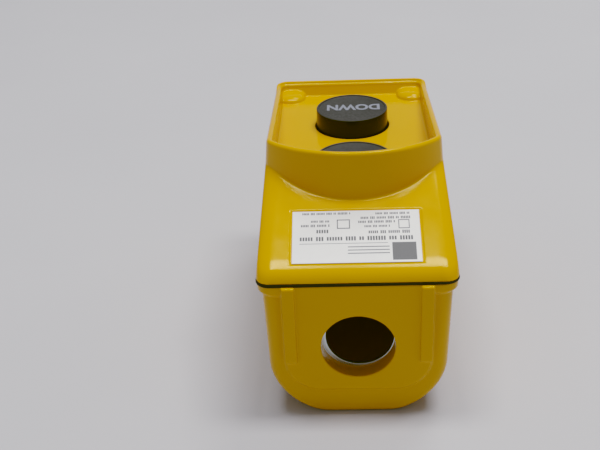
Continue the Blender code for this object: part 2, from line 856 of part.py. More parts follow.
def make_spring(name, centre, size, span, turns, material):
    """A compression spring: a round wire swept along a helix, with flat closed ends.

    The size is the coil's radius and the wire's, and the span is the lowest and highest level.
    """
    radius, wire_r = size
    low, high = span
    per_turn = 8
    sides = 4
    end_turns = 0.8
    total = turns + 2 * end_turns
    count = int(total * per_turn)
    rows = []
    form = bmesh.new()
    for index in range(count + 1):
        turn = total * index / count
        active = min(max(turn - end_turns, 0.0), turns) / turns
        level = low + wire_r + (high - low - 2 * wire_r) * active
        angle = 2 * math.pi * turn
        row = []
        for side in range(sides):
            roll = 2 * math.pi * side / sides
            reach = radius + wire_r * math.cos(roll)
            x = centre[0] + reach * math.cos(angle)
            y = centre[1] + reach * math.sin(angle)
            row.append(form.verts.new(metres((x, y, level + wire_r * math.sin(roll)))))
        rows.append(row)
    for row, next_row in zip(rows, rows[1:]):
        for side in range(sides):
            following = (side + 1) % sides
            form.faces.new((row[side], row[following], next_row[following], next_row[side]))
    form.faces.new(rows[0])
    form.faces.new(rows[-1])
    bmesh.ops.recalc_face_normals(form, faces=form.faces)
    mesh = bpy.data.meshes.new(name)
    form.to_mesh(mesh)
    form.free()
    return add_object(name, mesh, material)


def make_return_spring(name, centre, material):
    """The spring between the bush's flange and the stem's."""
    low = CARRIER_TOP + BUSH_FLANGE_THICK + TOUCH_GAP
    high = STEM_FLANGE_TOP - STEM_FLANGE_THICK - TOUCH_GAP
    size = (SPRING_COIL_R, SPRING_WIRE_R)
    return make_spring(name + "_return_spring", centre, size, (low, high), SPRING_TURNS, material)


def make_contact_spring(name, centre, material):
    """The spring that lifts the bridge from its pocket in the block."""
    span = (CONTACT_SPRING_LOW, BRIDGE_BOTTOM - TOUCH_GAP / 2)
    size = (CONTACT_COIL_R, CONTACT_WIRE_R)
    return make_spring(name + "_contact_spring", centre, size, span, CONTACT_TURNS, material)


def make_boot(name, centre, material):
    """A rubber bellows between the carrier and the stem's flange, around the return spring."""
    low = CARRIER_TOP + TOUCH_GAP
    high = STEM_FLANGE_TOP - STEM_FLANGE_THICK - TOUCH_GAP
    outside = []
    inside = []
    for index in range(2 * BOOT_FOLDS + 1):
        level = low + (high - low) * index / (2 * BOOT_FOLDS)
        radius = BOOT_OUTER_R if index % 2 else BOOT_INNER_R
        outside.append((radius, level))
        inside.append((radius - BOOT_SKIN, level))
    inside[-1] = (STEM_FLANGE_R - 1.6, high)
    inside[-2] = (BOOT_OUTER_R - BOOT_SKIN, inside[-2][1] - 0.3)
    profile = outside + list(reversed(inside))
    return turned(name + "_button_boot", profile, centre, 16, material)


# --- Contact block ------------------------------------------------------------------------------


def make_block(name, station, material):
    """The contact block: a frame with a window for the bridge and a pocket for each terminal."""
    centre = (0, station)
    near = station - BLOCK_HALF_Y
    far = station + BLOCK_HALF_Y
    wide = (-BLOCK_HALF_X, BLOCK_HALF_X)
    block = box(name + "_contact_block", wide, (near, far), (BLOCK_BOTTOM, BLOCK_TOP), material)
    window = (-WINDOW_HALF_X, WINDOW_HALF_X)
    cut(block, box("bridge_window", window, (near - 1, far + 1), (WINDOW_BOTTOM, WINDOW_TOP)))
    clip_pocket = CLIP_TOP - CLIP_THICK - BUTTON_TRAVEL - 1.0
    cut(block, prism("clip_pocket", circle(centre, CLIP_R + 1.0, 16), clip_pocket, BLOCK_TOP + 1))
    cut(block, prism("plunger_bore", circle(centre, PLUNGER_R + 0.3, 12), 60.0, BLOCK_TOP))
    cut(block, prism("spring_pocket", circle(centre, 3.4, 12), 46.5, WINDOW_BOTTOM + 1))
    for side in (-1, 1):
        slot_x = sorted((side * (WINDOW_HALF_X - 1), side * (BLOCK_HALF_X + 1)))
        gap = TOUCH_GAP / 2
        slot_y = (station - STRIP_HALF_Y - gap, station + STRIP_HALF_Y + gap)
        slot_z = (STRIP_BOTTOM - gap, STRIP_BOTTOM + STRIP_THICK + gap)
        cut(block, box("strip_slot", slot_x, slot_y, slot_z))
        pocket_x = sorted((side * (TERMINAL_X - 3.2), side * (BLOCK_HALF_X + 1)))
        pocket_y = (station - 3.6, station + 3.6)
        cut(block, box("terminal_pocket", pocket_x, pocket_y, (BLOCK_BOTTOM - 1, STRIP_BOTTOM)))
        tip_hole = circle((side * TERMINAL_X, station), 1.8, 10)
        cut(block, prism("terminal_bore", tip_hole, STRIP_BOTTOM, 57.5))
    for screw_centre in block_screw_centres(station):
        hole = circle(screw_centre, 1.3, 10)
        cut(block, prism("block_bore", hole, 63.0, BLOCK_TOP + 1))
    return block


def make_fixed_contact(name, number, side, station, material):
    """A brass strip with a contact tip at its inner end and a hole for the terminal screw."""
    span = sorted((side * 4.4, side * (BLOCK_HALF_X - 0.6)))
    along = (station - STRIP_HALF_Y, station + STRIP_HALF_Y)
    level = (STRIP_BOTTOM, STRIP_BOTTOM + STRIP_THICK)
    strip = box(name + "_fixed_contact_" + str(number), span, along, level, material)
    tip = circle((side * STUD_X, station), STUD_R, 12)
    join(strip, prism("contact_tip", tip, STRIP_BOTTOM + 0.5, STRIP_BOTTOM + STRIP_THICK + 0.6))
    hole = circle((side * TERMINAL_X, station), 1.8, 10)
    cut(strip, prism("strip_hole", hole, STRIP_BOTTOM - 1, STRIP_BOTTOM + 2))
    return strip


def make_bridge(name, station, material):
    """The moving contact: a bar with a contact stud under each end."""
    span = (-BRIDGE_HALF_X, BRIDGE_HALF_X)
    level = (BRIDGE_BOTTOM, BRIDGE_BOTTOM + BRIDGE_THICK)
    bridge = box(name + "_contact_bridge", span, (station - 2.6, station + 2.6), level, material)
    for side in (-1, 1):
        stud = circle((side * STUD_X, station), STUD_R, 12)
        join(bridge, prism("bridge_stud", stud, BRIDGE_BOTTOM - 0.8, BRIDGE_BOTTOM + 0.5))
    return bridge


def make_plunger(name, centre, material):
    """The block's plunger, which meets the bridge after its free travel."""
    top = STEM_BOTTOM - TOUCH_GAP
    free_travel = BUTTON_TRAVEL - BRIDGE_TRAVEL
    bottom = BRIDGE_BOTTOM + BRIDGE_THICK + free_travel + TOUCH_GAP
    profile = [
        (0, top),
        (PLUNGER_R - 0.4, top),
        (PLUNGER_R, top - 0.4),
        (PLUNGER_R, bottom + 0.4),
        (PLUNGER_R - 0.4, bottom),
        (0, bottom),
    ]
    return turned(name + "_contact_plunger", profile, centre, 12, material)


def make_button_unit(name, station, look):
    centre = (0, station)
    make_cap(name, centre, look["cap"])
    make_stem(name, centre, look["acetal"])
    make_clip(name, centre, look["steel"])
    make_bush(name, centre, look["acetal"])
    make_return_spring(name, centre, look["steel"])
    make_boot(name, centre, look["rubber"])
    make_block(name, station, look["block"])
    make_plunger(name, centre, look["acetal"])
    make_bridge(name, station, look["brass"])
    make_contact_spring(name, centre, look["steel"])
    for number, side in enumerate((-1, 1), start=1):
        make_fixed_contact(name, number, side, station, look["brass"])
        make_terminal_screw(name, number, (side * TERMINAL_X, station), look["steel"])
    for number, screw_centre in enumerate(block_screw_centres(station), start=1):
        screw_name = name + "_block_screw_" + str(number)
        make_hanging_screw(screw_name, screw_centre, look["steel"])


def make_terminal_screw(name, number, centre, material):
    seat = STRIP_BOTTOM - TOUCH_GAP / 2
    screw_name = name + "_terminal_screw_" + str(number)
    ends = (seat, TERMINAL_SCREW_TIP)
    make_screw(screw_name, centre, ends, TERMINAL_SCREW_R, TERMINAL_HEAD_R, 2.2, material)


def make_hanging_screw(name, centre, material):
    """A flat-head screw that enters the block from above the carrier."""
    seat = CARRIER_TOP + TOUCH_GAP / 2
    profile = [
        (0, seat + 1.4),
        (2.4, seat + 1.4),
        (2.6, seat),
        (1.1, seat),
        (1.1, 64.4),
        (0.6, 63.6),
        (0, 63.6),
    ]
    return turned(name, profile, centre, 10, material)


def main():
    clear_scene()
    yellow = make_material("yellow_abs", (0.72, 0.42, 0.0), 0.3)
    black = make_material("gasket_rubber", (0.02, 0.02, 0.02), 0.6)
    zinc = make_material("zinc_steel", (0.6, 0.62, 0.62), 0.35, 1.0)
    white = make_material("label_film", (0.8, 0.8, 0.78), 0.4)
    brass = make_material("brass", (0.75, 0.55, 0.25), 0.35, 1.0)
    grey = make_material("carrier_plastic", (0.12, 0.12, 0.13), 0.5)
    look = {
        "cap": make_material("cap_plastic", (0.05, 0.05, 0.05), 0.5),
        "acetal": make_material("acetal", (0.8, 0.8, 0.76), 0.45),
        "steel": make_material("steel", (0.62, 0.62, 0.64), 0.3, 1.0),
        "rubber": make_material("boot_rubber", (0.03, 0.03, 0.03), 0.7),
        "block": make_material("block_plastic", (0.1, 0.25, 0.12), 0.45),
        "brass": brass,
    }
    make_rear_housing(yellow)
    make_entry_plate(zinc)
    make_gasket(black)
    make_front_cover(yellow)
    make_label(white)
    make_cover_screws(look["steel"], brass)
    make_carrier(grey, look["steel"])
    for name, station in BUTTONS:
        make_button_unit(name, station, look)


main()
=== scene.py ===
"""Pendant control station: its fine shells, caps, seal, print, materials, light and camera.

Pieces are laid out in body millimetres (x, distance from the entry face, height over the rear
face), and place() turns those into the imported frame's metres.
"""

import json
import math

import bmesh
import bpy
from mathutils import Matrix, Quaternion, Vector


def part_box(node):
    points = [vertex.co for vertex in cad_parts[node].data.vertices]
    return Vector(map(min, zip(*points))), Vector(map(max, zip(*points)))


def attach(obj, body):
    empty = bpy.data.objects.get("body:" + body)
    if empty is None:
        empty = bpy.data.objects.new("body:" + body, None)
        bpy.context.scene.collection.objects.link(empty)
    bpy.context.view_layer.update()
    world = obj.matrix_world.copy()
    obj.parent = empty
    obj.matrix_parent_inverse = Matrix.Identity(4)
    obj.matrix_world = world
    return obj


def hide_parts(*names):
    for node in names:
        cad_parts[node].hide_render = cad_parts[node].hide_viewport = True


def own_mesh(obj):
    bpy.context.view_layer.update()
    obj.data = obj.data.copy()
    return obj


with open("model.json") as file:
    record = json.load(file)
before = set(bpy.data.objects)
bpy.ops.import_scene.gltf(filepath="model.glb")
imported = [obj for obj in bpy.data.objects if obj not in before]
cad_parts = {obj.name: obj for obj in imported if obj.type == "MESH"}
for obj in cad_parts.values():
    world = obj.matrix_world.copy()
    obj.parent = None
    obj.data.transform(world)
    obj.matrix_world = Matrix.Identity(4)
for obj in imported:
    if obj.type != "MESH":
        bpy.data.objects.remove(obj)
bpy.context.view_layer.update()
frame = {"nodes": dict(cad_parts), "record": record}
NODES = frame["nodes"]
MM = 0.001

# Overall size
SEAM_HALF_WIDTH = 40.0
BODY_LENGTH = 156.0
MID_Y = 77.25
WALL = 3.0
TRIM_INSET = 1.0

# Rear housing
HOUSING_TOP = 65.1
LONG_EDGE_R = 25.5
END_EDGE_R = 2.6
END_DRAFT = 0.025
SIDE_DRAFT = 0.029
RIM_STEP = 1.5
RIM_SIDE_STEP = 1.8
RIM_REVEAL = 0.1
RIM_BAND_HEIGHT = 5.2
RIM_BAND_COVE = 1.6
CORNER_R = 5.5

# Cable entry, its ribs and its plate
ENTRY_Z = 35.4
ENTRY_R = 15.1
PAD_HALF_WIDTH = 30.0
PAD_BOTTOM = 13.3
PAD_CORNER_R = 15.0
PAD_BACK = 8.4
PAD_BEVEL_IN = 0.8  # its bevelled edge starts this far inside the outline
PAD_BEVEL_OUT = 0.7  # and ends this far outside it
PAD_BEVEL_DEPTH = 1.6
RIB_INNER_X = 24.7
RIB_OUTER_X = 30.1
RIB_BOTTOM = 27.6
RIB_PROUD = 1.5
RIB_ROOT = 2.0  # its sides run this far into the pad
RIB_SIDE_DRAFT = 0.3
PLATE_HOLE_R = 14.0
PLATE_HOLE_SHIFT = 0.8
PLATE_CORNER_R = 2.0
GUIDE_INNER_X = 20.0
GUIDE_OUTER_X = 23.4
GUIDE_TOP = 60.0
GUIDE_THICK = 2.0
GUIDE_GAP = 1.8  # from the pad's back to the guide
SPACER_WIDTH = 1.9

# Seam
GASKET_BOTTOM = 65.25
GASKET_TOP = 66.25
GASKET_WIDTH = 4.6
GASKET_INSET = 0.15
GASKET_BULGE = 0.12
GASKET_SQUEEZE = 0.4
SQUEEZE_ACROSS = (10.0, 45.0)  # where the squeeze starts towards the left, and its run
SQUEEZE_ALONG = (40.0, 30.0)  # and the same towards the near end

# Front cover
COVER_BOTTOM = 66.4
SLOPE_FOOT_Z = 70.1
SLOPE_RISE = 0.463
SKIRT_R = 7.0  # the skirt bulges on this radius
SKIRT_TURN = 59.0  # and has turned this far, in degrees, where the slope's easing takes over
EASE_R = 45.0
COVER_LEAN = 0.085
FAR_LEAN = 0.05
SLOPE_CORNER_R = 7.5
SHOULDER_Z = 92.5
FLOOR_Z = 85.9
FLOOR_THICK = 3.0
LABEL_HALF = 25.5
LABEL_NEAR = 5.4
LABEL_FAR = 28.4
RECESS_MARGIN = 1.1
RECESS_NEAR = LABEL_NEAR - 0.5
RECESS_FAR = LABEL_FAR + 0.6
RECESS_DEPTH = 0.35

# Guard
GUARD_FOOT = 71.0
GUARD_APEX = 33.4
GUARD_ARC_R = 48.0
GUARD_CORNER_R = 9.0
GUARD_FAR_CORNER_R = 6.0
GUARD_NEAR_Z = 106.7
GUARD_FALL = 0.126
GUARD_LIP_R = 1.45
GUARD_WALL = 3.0
GUARD_SKIN = 0.02
GUARD_STEPS = range(0, 91, 15)  # the angles, in degrees, round its top edge
WELL_FAR = 149.8
WELL_FLARE = 0.6  # the well's sides start this far in at the floor
BLISTER_X = 30.5
BLISTER_Y = 146.0
BLISTER_TAIL = 5.5
BLISTER_R = 7.2
BLISTER_HEIGHT = 3.0
BLISTER_CROWN = 2.8
BLISTER_SPREAD = 1.9  # the crown's width over its height

# Pillars and screws
HOUSING_PILLAR_R = 6.2
COVER_PILLAR_R = 5.0
PILLAR_X = 29.0
PILLAR_STATIONS = (17.0, 144.5)
INSERT_BORE_R = 3.05
INSERT_BORE_DEPTH = 7.2
SCREW_HOLE_R = 2.3
COUNTERBORE_R = 4.3
HEAD_SEAT_Z = 46.0
HEAD_HEIGHT = 3.2
COVER_SCREW_R = 1.9
COVER_SCREW_HEAD_R = 3.9
COVER_SCREW_HEAD_ROUND = 0.6
COVER_SCREW_TIP = 72.8
COVER_SCREW_TAPER = 1.3

# Buttons
BUTTONS = (("up", 55.6), ("down", 111.7))
CAP_TOP = 94.5
CAP_R = 16.8
CAP_BOTTOM = 81.5
CAP_WALL = 2.2
CAP_ROOF = 2.5
CAP_RING_R = 15.6
CAP_DISH = 0.35
CAP_EDGE_R = 0.4
CAP_DRAFT = 0.28
CAP_SOCKET_R = 5.1  # the boss that takes the stem, and the stem's hole in it
CAP_SOCKET_HOLE_R = 3.1
CAP_SOCKET_BOTTOM = 85.9
BUTTON_HOLE_R = 17.6
COLLAR_WALL = 2.0
COLLAR_BOTTOM = 76.2
LEGEND_HEIGHT = 6.9
LEGEND_SHIFT = (0.7, 0.9)
LEGEND_WIDTHS = {"up": 12.6, "down": 25.0}
RETURN_COIL = {"coil_r": 6.4, "wire_r": 0.35, "turns": 2.5}
CONTACT_COIL = {"coil_r": 2.5, "wire_r": 0.3, "turns": 5}
BOOT_R = 11.5
BOOT_FOLDS = 4
BOOT_SWING = 1.0
BOOT_SKIN = 0.35
BOOT_NECK_R = 7.4

# Shells: the size of the voxels that round their edges, and the share of faces kept
VOXEL = 0.35
SMOOTHING = 3
KEPT_FACES = 0.2

# Camera, in body millimetres and radians
CAMERA_LENS = 57.58
CAMERA_SPOT = (-4.192, -315.011, 266.858)
CAMERA_YAW = -0.054
CAMERA_PITCH = -0.504
CAMERA_ROLL = -0.047


def place(point):
    """A point in body millimetres in the frame's metres."""
    x, along, z = point
    return (x * MM, (along - MID_Y) * MM, z * MM)


# --- Outlines -----------------------------------------------------------------------------------


def arc(centre, radius, start, end, steps):
    """Points on an arc about centre, from the start to the end angle in degrees."""
    points = []
    for step in range(steps + 1):
        angle = math.radians(start + (end - start) * step / steps)
        points.append((centre[0] + radius * math.cos(angle), centre[1] + radius * math.sin(angle)))
    return points


def circle(centre, radius, steps):
    """Points round a full circle, none of them twice."""
    return arc(centre, radius, 0, 360 - 360 / steps, steps - 1)


def rounded_rectangle(half_x, near, far, near_r, far_r, steps=12):
    """A rounded rectangle, symmetrical about x = 0, anticlockwise from its right far corner."""
    outline = arc((half_x - far_r, far - far_r), far_r, 0, 90, steps)
    outline += arc((-half_x + far_r, far - far_r), far_r, 90, 180, steps)
    outline += arc((-half_x + near_r, near + near_r), near_r, 180, 270, steps)
    outline += arc((half_x - near_r, near + near_r), near_r, 270, 360, steps)
    return outline


def guard_outline(half_x, far, inset, arc_steps=48, steps=9):
    """The guard's plan: a rounded rectangle whose near side is an arc, moved in by the inset."""
    half_x -= inset
    far -= inset
    arc_r = GUARD_ARC_R - inset
    corner_r = GUARD_CORNER_R - inset
    far_r = GUARD_FAR_CORNER_R - inset
    centre = GUARD_APEX + GUARD_ARC_R
    reach = arc_r - corner_r
    corner_x = half_x - corner_r
    corner_y = centre - math.sqrt(reach**2 - corner_x**2)
    turn = math.degrees(math.atan2(corner_x, centre - corner_y))
    outline = arc((half_x - far_r, far - far_r), far_r, 0, 90, steps)
    outline += arc((-half_x + far_r, far - far_r), far_r, 90, 180, steps)
    outline += arc((-corner_x, corner_y), corner_r, 180, 270 - turn, steps)
    outline += arc((0, centre), arc_r, 270 - turn, 270 + turn, arc_steps)[1:-1]
    outline += arc((corner_x, corner_y), corner_r, 270 + turn, 360, steps)
    return outline


# --- Solids -------------------------------------------------------------------------------------


def add_form(name, form):
    """The bmesh form as a new object with outward normals."""
    bmesh.ops.recalc_face_normals(form, faces=form.faces)
    mesh = bpy.data.meshes.new(name)
    form.to_mesh(mesh)
    form.free()
    item = bpy.data.objects.new(name, mesh)
    bpy.context.scene.collection.objects.link(item)
    return item


def loft(name, rings, closed=False):
    """A solid through rings of equal counts: capped at both ends, or closed into a hoop."""
    form = bmesh.new()
    loops = [[form.verts.new(place(point)) for point in ring] for ring in rings]
    count = len(loops[0])
    following_loops = loops[1:] + loops[:1] if closed else loops[1:]
    for lower, upper in zip(loops, following_loops):
        for index in range(count):
            following = (index + 1) % count
            form.faces.new((lower[index], lower[following], upper[following], upper[index]))
    if not closed:
        form.faces.new(list(reversed(loops[0])))
        form.faces.new(loops[-1])
    return add_form(name, form)


def prism(name, outline, low, high):
    """A solid that stands on an (x, distance) outline, between two levels."""
    return loft(name, [[(x, y, level) for x, y in outline] for level in (low, high)])


def box(name, x, along, z):
    """A box between pairs of limits."""
    outline = [(x[0], along[0]), (x[1], along[0]), (x[1], along[1]), (x[0], along[1])]
    return prism(name, outline, z[0], z[1])


def level_cylinder(name, centre, radius, along, steps):
    """A cylinder along Y, from the first to the second distance."""
    rings = []
    for distance in along:
        rings.append([(x, distance, z) for x, z in circle(centre, radius, steps)])
    return loft(name, rings)


def turned(name, profile, centre, steps):
    """A solid turned about the upright axis through centre, from a closed (radius, level) list."""
    form = bmesh.new()
    rows = []
    for radius, level in profile:
        if radius == 0:
            rows.append([form.verts.new(place((centre[0], centre[1], level)))] * steps)
        else:
            ring = circle(centre, radius, steps)
            rows.append([form.verts.new(place((x, y, level))) for x, y in ring])
    for row, next_row in zip(rows, rows[1:] + rows[:1]):
        for index in range(steps):
            following = (index + 1) % steps
            corners = (row[index], row[following], next_row[following], next_row[index])
            corners = list(dict.fromkeys(corners))
            if len(corners) > 2:
                form.faces.new(corners)
    return add_form(name, form)


def combine(item, tool, operation):
    """Adds a boolean modifier, which settle() carries out."""
    change = item.modifiers.new(tool.name, "BOOLEAN")
    change.operation = operation
    change.solver = "EXACT"
    change.object = tool


def cut(item, *tools):
    for tool in tools:
        combine(item, tool, "DIFFERENCE")


def join(item, *tools):
    for tool in tools:
        combine(item, tool, "UNION")


def settle(item):
    """Makes an object's modifiers part of its mesh."""
    graph = bpy.context.evaluated_depsgraph_get()
    mesh = bpy.data.meshes.new_from_object(item.evaluated_get(graph), depsgraph=graph)
    mesh.name = item.name
    item.modifiers.clear()
    item.data = mesh


def settle_with_tools(item):
    """The same, and the solids that were combined with it go."""
    tools = [change.object for change in item.modifiers if change.type == "BOOLEAN"]
    settle(item)
    for tool in set(tools):
        bpy.data.objects.remove(tool)


def trimmed(solids, core):
    """The solids, cut back to what lies within the core, which goes."""
    for solid in solids:
        combine(solid, core, "INTERSECT")
        settle(solid)
    bpy.data.objects.remove(core)
    return solids


def mould(item):
    """Gives a hard-edged solid the small fillets of a moulding, by fine voxels and smoothing."""
    fine = item.modifiers.new("voxels", "REMESH")
    fine.mode = "VOXEL"
    fine.voxel_size = VOXEL * MM
    fine.use_smooth_shade = True
    soft = item.modifiers.new("fillets", "SMOOTH")
    soft.factor = 0.5
    soft.iterations = SMOOTHING
    fewer = item.modifiers.new("fewer_faces", "DECIMATE")
    fewer.ratio = KEPT_FACES
    flat = item.modifiers.new("flat_faces", "WEIGHTED_NORMAL")
    flat.weight = 50
    settle(item)


def finish_piece(item, body, looks, nodes=()):
    """Materials, the body that the piece rides on, and the CAD nodes that it stands for."""
    item.data.materials.clear()
    for look in looks:
        item.data.materials.append(look)
    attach(item, body)
    if nodes:
        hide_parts(*nodes)


def smooth(item, angle=30):
    item.data.shade_smooth()
    item.data.set_sharp_from_angle(angle=math.radians(angle))


# --- Rear housing -------------------------------------------------------------------------------


def housing_ring(level, inset, band=False):
    """The housing's plan at one level, moved in by the inset, and out by the steps on the band."""
    end_step = RIM_STEP if band else 0.0
    side_step = RIM_SIDE_STEP if band else 0.0
    top_half = SEAM_HALF_WIDTH - RIM_REVEAL - RIM_SIDE_STEP
    depth = max(0.0, LONG_EDGE_R - level)
    straight_half = top_half - SIDE_DRAFT * (HOUSING_TOP - max(level, LONG_EDGE_R))
    round_in = LONG_EDGE_R - math.sqrt(LONG_EDGE_R**2 - depth**2)
    half_x = straight_half - round_in - inset + side_step
    end_depth = max(0.0, END_EDGE_R - level)
    end_in = END_EDGE_R - math.sqrt(END_EDGE_R**2 - end_depth**2)
    draft = END_DRAFT * (HOUSING_TOP - level)
    near = RIM_STEP + draft + end_in + inset - end_step
    far = BODY_LENGTH - RIM_STEP - draft - end_in - inset + end_step
    radius = max(1.0, CORNER_R - inset + end_step)
    outline = rounded_rectangle(half_x, near, far, radius, radius)
    return [(x, y, level) for x, y in outline]


def housing_rings(inset):
    """Rings from the flat rear face up to just under the rim band."""
    long_edge = [LONG_EDGE_R * (1 - math.cos(math.radians(angle))) for angle in range(15, 91, 5)]
    end_edge = [END_EDGE_R * (1 - math.cos(math.radians(angle))) for angle in range(15, 91, 15)]
    levels = [0.0] + sorted(end_edge + long_edge) + [HOUSING_TOP - RIM_BAND_HEIGHT]
    rings = []
    for level in levels:
        rings.append([(x, y, z + inset) for x, y, z in housing_ring(level, inset)])
    return rings


def housing_body():
    foot = HOUSING_TOP - RIM_BAND_HEIGHT
    rings = housing_rings(0.0)
    rings.append(housing_ring(foot + RIM_BAND_COVE, 0.0, band=True))
    rings.append(housing_ring(HOUSING_TOP, 0.0, band=True))
    return loft("housing_shell", rings)


def housing_inside(name, inset):
    """What lies the inset under the housing's outer face, open at the top."""
    return loft(name, housing_rings(inset) + [housing_ring(HOUSING_TOP + 2, inset)])


def pad_ring(growth, behind):
    """The pad's outline, grown by so much, on a plane that far behind its drafted face."""
    half_x = PAD_HALF_WIDTH + growth
    radius = PAD_CORNER_R + growth
    lift = PAD_BOTTOM + PAD_CORNER_R
    outline = [(half_x, HOUSING_TOP), (-half_x, HOUSING_TOP)]
    outline += arc((-half_x + radius, lift), radius, 180, 270, 16)
    outline += arc((half_x - radius, lift), radius, 270, 360, 16)
    return [(x, END_DRAFT * (HOUSING_TOP - z) + behind, z) for x, z in outline]


def entry_pad():
    """The flat pad around the entry, flush with the rim band, with a bevelled edge below it."""
    face = pad_ring(-PAD_BEVEL_IN, 0.0)
    foot = pad_ring(PAD_BEVEL_OUT, PAD_BEVEL_DEPTH)
    return loft("entry_pad", [face, foot, pad_ring(PAD_BEVEL_OUT, PAD_BACK)])


def grip_rib(side):
    """A rib beside the entry, from the seam down, bevelled at its ends."""
    # level, how far it stands out there, and how far its sides close in
    stations = (
        (RIB_BOTTOM - 0.2, 0.05, 0.3),
        (RIB_BOTTOM + 1.3, RIB_PROUD, 0.0),
        (HOUSING_TOP - 0.6, RIB_PROUD, 0.0),
        (HOUSING_TOP - 0.1, 1.0, 0.0),
    )
    rings = []
    for level, proud, pinch in stations:
        face = END_DRAFT * (HOUSING_TOP - level)
        inner = side * (RIB_INNER_X + pinch)
        outer = side * (RIB_OUTER_X - pinch)
        front_inner = side * (RIB_INNER_X + pinch + RIB_SIDE_DRAFT)
        front_outer = side * (RIB_OUTER_X - pinch - RIB_SIDE_DRAFT)
        ring = [(inner, face + RIB_ROOT, level), (front_inner, face - proud, level)]
        ring += [(front_outer, face - proud, level), (outer, face + RIB_ROOT, level)]
        rings.append(ring)
    return loft("grip_rib", rings)


def pillars():
    """(side, distance) of the four corner pillars."""
    return [(side, station) for station in PILLAR_STATIONS for side in (-1, 1)]


def housing_additions():
    """What stands inside the housing: the plate's guides and the screw pillars."""
    near = PAD_BACK + GUIDE_GAP
    height = (END_EDGE_R, GUIDE_TOP)
    solids = []
    for side in (-1, 1):
        guide = sorted((side * GUIDE_INNER_X, side * GUIDE_OUTER_X))
        solids.append(box("plate_guide", guide, (near, near + GUIDE_THICK), height))
        spacer = sorted((side * (GUIDE_OUTER_X - SPACER_WIDTH), side * GUIDE_OUTER_X))
        solids.append(box("spacer", spacer, (PAD_BACK - 2, near + 1), height))
    for side, station in pillars():
        outline = circle((side * PILLAR_X, station), HOUSING_PILLAR_R, 32)
        solids.append(prism("pillar", outline, 0.0, HOUSING_TOP - 1.2))
    return solids


def make_housing(look):
    """The rear shell, with its pad, ribs, pillars, screw holes and entry."""
    housing = housing_body()
    cut(housing, housing_inside("cavity", WALL))
    join(housing, entry_pad(), grip_rib(-1), grip_rib(1))
    join(housing, *trimmed(housing_additions(), housing_inside("core", TRIM_INSET)))
    for side, station in pillars():
        centre = (side * PILLAR_X, station)
        cut(housing, prism("screw_bore", circle(centre, SCREW_HOLE_R, 24), -1.0, HOUSING_TOP + 1))
        cut(housing, prism("counterbore", circle(centre, COUNTERBORE_R, 40), -1.0, HEAD_SEAT_Z))
    cut(housing, level_cylinder("entry_bore", (0, ENTRY_Z), ENTRY_R, (-5.0, PAD_BACK + 5), 128))
    settle_with_tools(housing)
    mould(housing)
    finish_piece(housing, "station", [look], ["rear_housing"])


# --- Front cover --------------------------------------------------------------------------------


def cover_half(level):
    """Half the cover's width at a level of its leaning sides."""
    return SEAM_HALF_WIDTH - COVER_LEAN * (level - COVER_BOTTOM)


def cover_far(level):
    """The distance of the leaning far end at a level."""
    return BODY_LENGTH - FAR_LEAN * (level - COVER_BOTTOM)


def slope_level(distance):
    """The height of the slope at a distance from the entry face."""
    return SLOPE_FOOT_Z + distance * SLOPE_RISE


def cover_ring(level, near, near_r, inset):
    """The cover's plan at one level, moved in by the inset, from a given near edge."""
    half_x = cover_half(level) - inset
    outline = rounded_rectangle(half_x, near, cover_far(level) - inset, near_r, CORNER_R - inset)
    return [(x, y, level) for x, y in outline]


def foot_profile(inset, steps):
    """(share of the turn, distance, level) up the bulging skirt and onto the slope.

    The outer face turns through two arcs: the skirt's, and a wide one that eases into the slope.
    """
    bend = math.pi / 2 - math.atan(SLOPE_RISE)
    change = math.radians(SKIRT_TURN)
    far = SKIRT_R * (1 - math.cos(change)) + EASE_R * (math.cos(change) - math.cos(bend))
    ease_y = far + EASE_R * math.cos(bend)
    ease_z = slope_level(far) - EASE_R * math.sin(bend)
    skirt_z = ease_z - (SKIRT_R - EASE_R) * math.sin(change)
    start = math.asin((COVER_BOTTOM - skirt_z) / SKIRT_R)
    arcs = (
        (start, change, SKIRT_R, SKIRT_R, skirt_z),
        (change, bend, EASE_R, ease_y, ease_z),
    )
    profile = []
    for low, high, radius, centre_y, centre_z in arcs:
        for step in range(1, steps + 1):
            turn = low + (high - low) * step / steps
            near = centre_y - (radius - inset) * math.cos(turn)
            profile.append((turn / bend, near, centre_z + (radius - inset) * math.sin(turn)))
    return profile


def cover_rings(inset, levels):
    """Rings up the skirt, round the foot of the slope and up the slope through the levels."""
    rings = [cover_ring(COVER_BOTTOM - inset, inset, CORNER_R - inset, inset)]
    for part, near, level in foot_profile(inset, steps=10):
        corner = CORNER_R + (SLOPE_CORNER_R - CORNER_R) * part - inset
        rings.append(cover_ring(level, near, corner, inset))
    drop = inset * math.sqrt(1 + SLOPE_RISE**2)
    for level in levels:
        near = (level + drop - SLOPE_FOOT_Z) / SLOPE_RISE
        rings.append(cover_ring(level, near, SLOPE_CORNER_R - inset, inset))
    return rings


def guard_ring(inset, drop):
    """A ring of the guard's top edge, the drop below the edge's plane, leaning like the sides."""
    base_half = cover_half(GUARD_FOOT)
    base_far = cover_far(GUARD_FOOT)
    ring = []
    for x, y in guard_outline(base_half, base_far, inset):
        level = GUARD_NEAR_Z - GUARD_FALL * (y - GUARD_APEX) - drop
        lean_x = (cover_half(level) + GUARD_SKIN) / base_half
        lean_y = FAR_LEAN * (level - GUARD_FOOT) * (y - GUARD_APEX) / (base_far - GUARD_APEX)
        ring.append((x * lean_x, y - lean_y, level))
    return ring


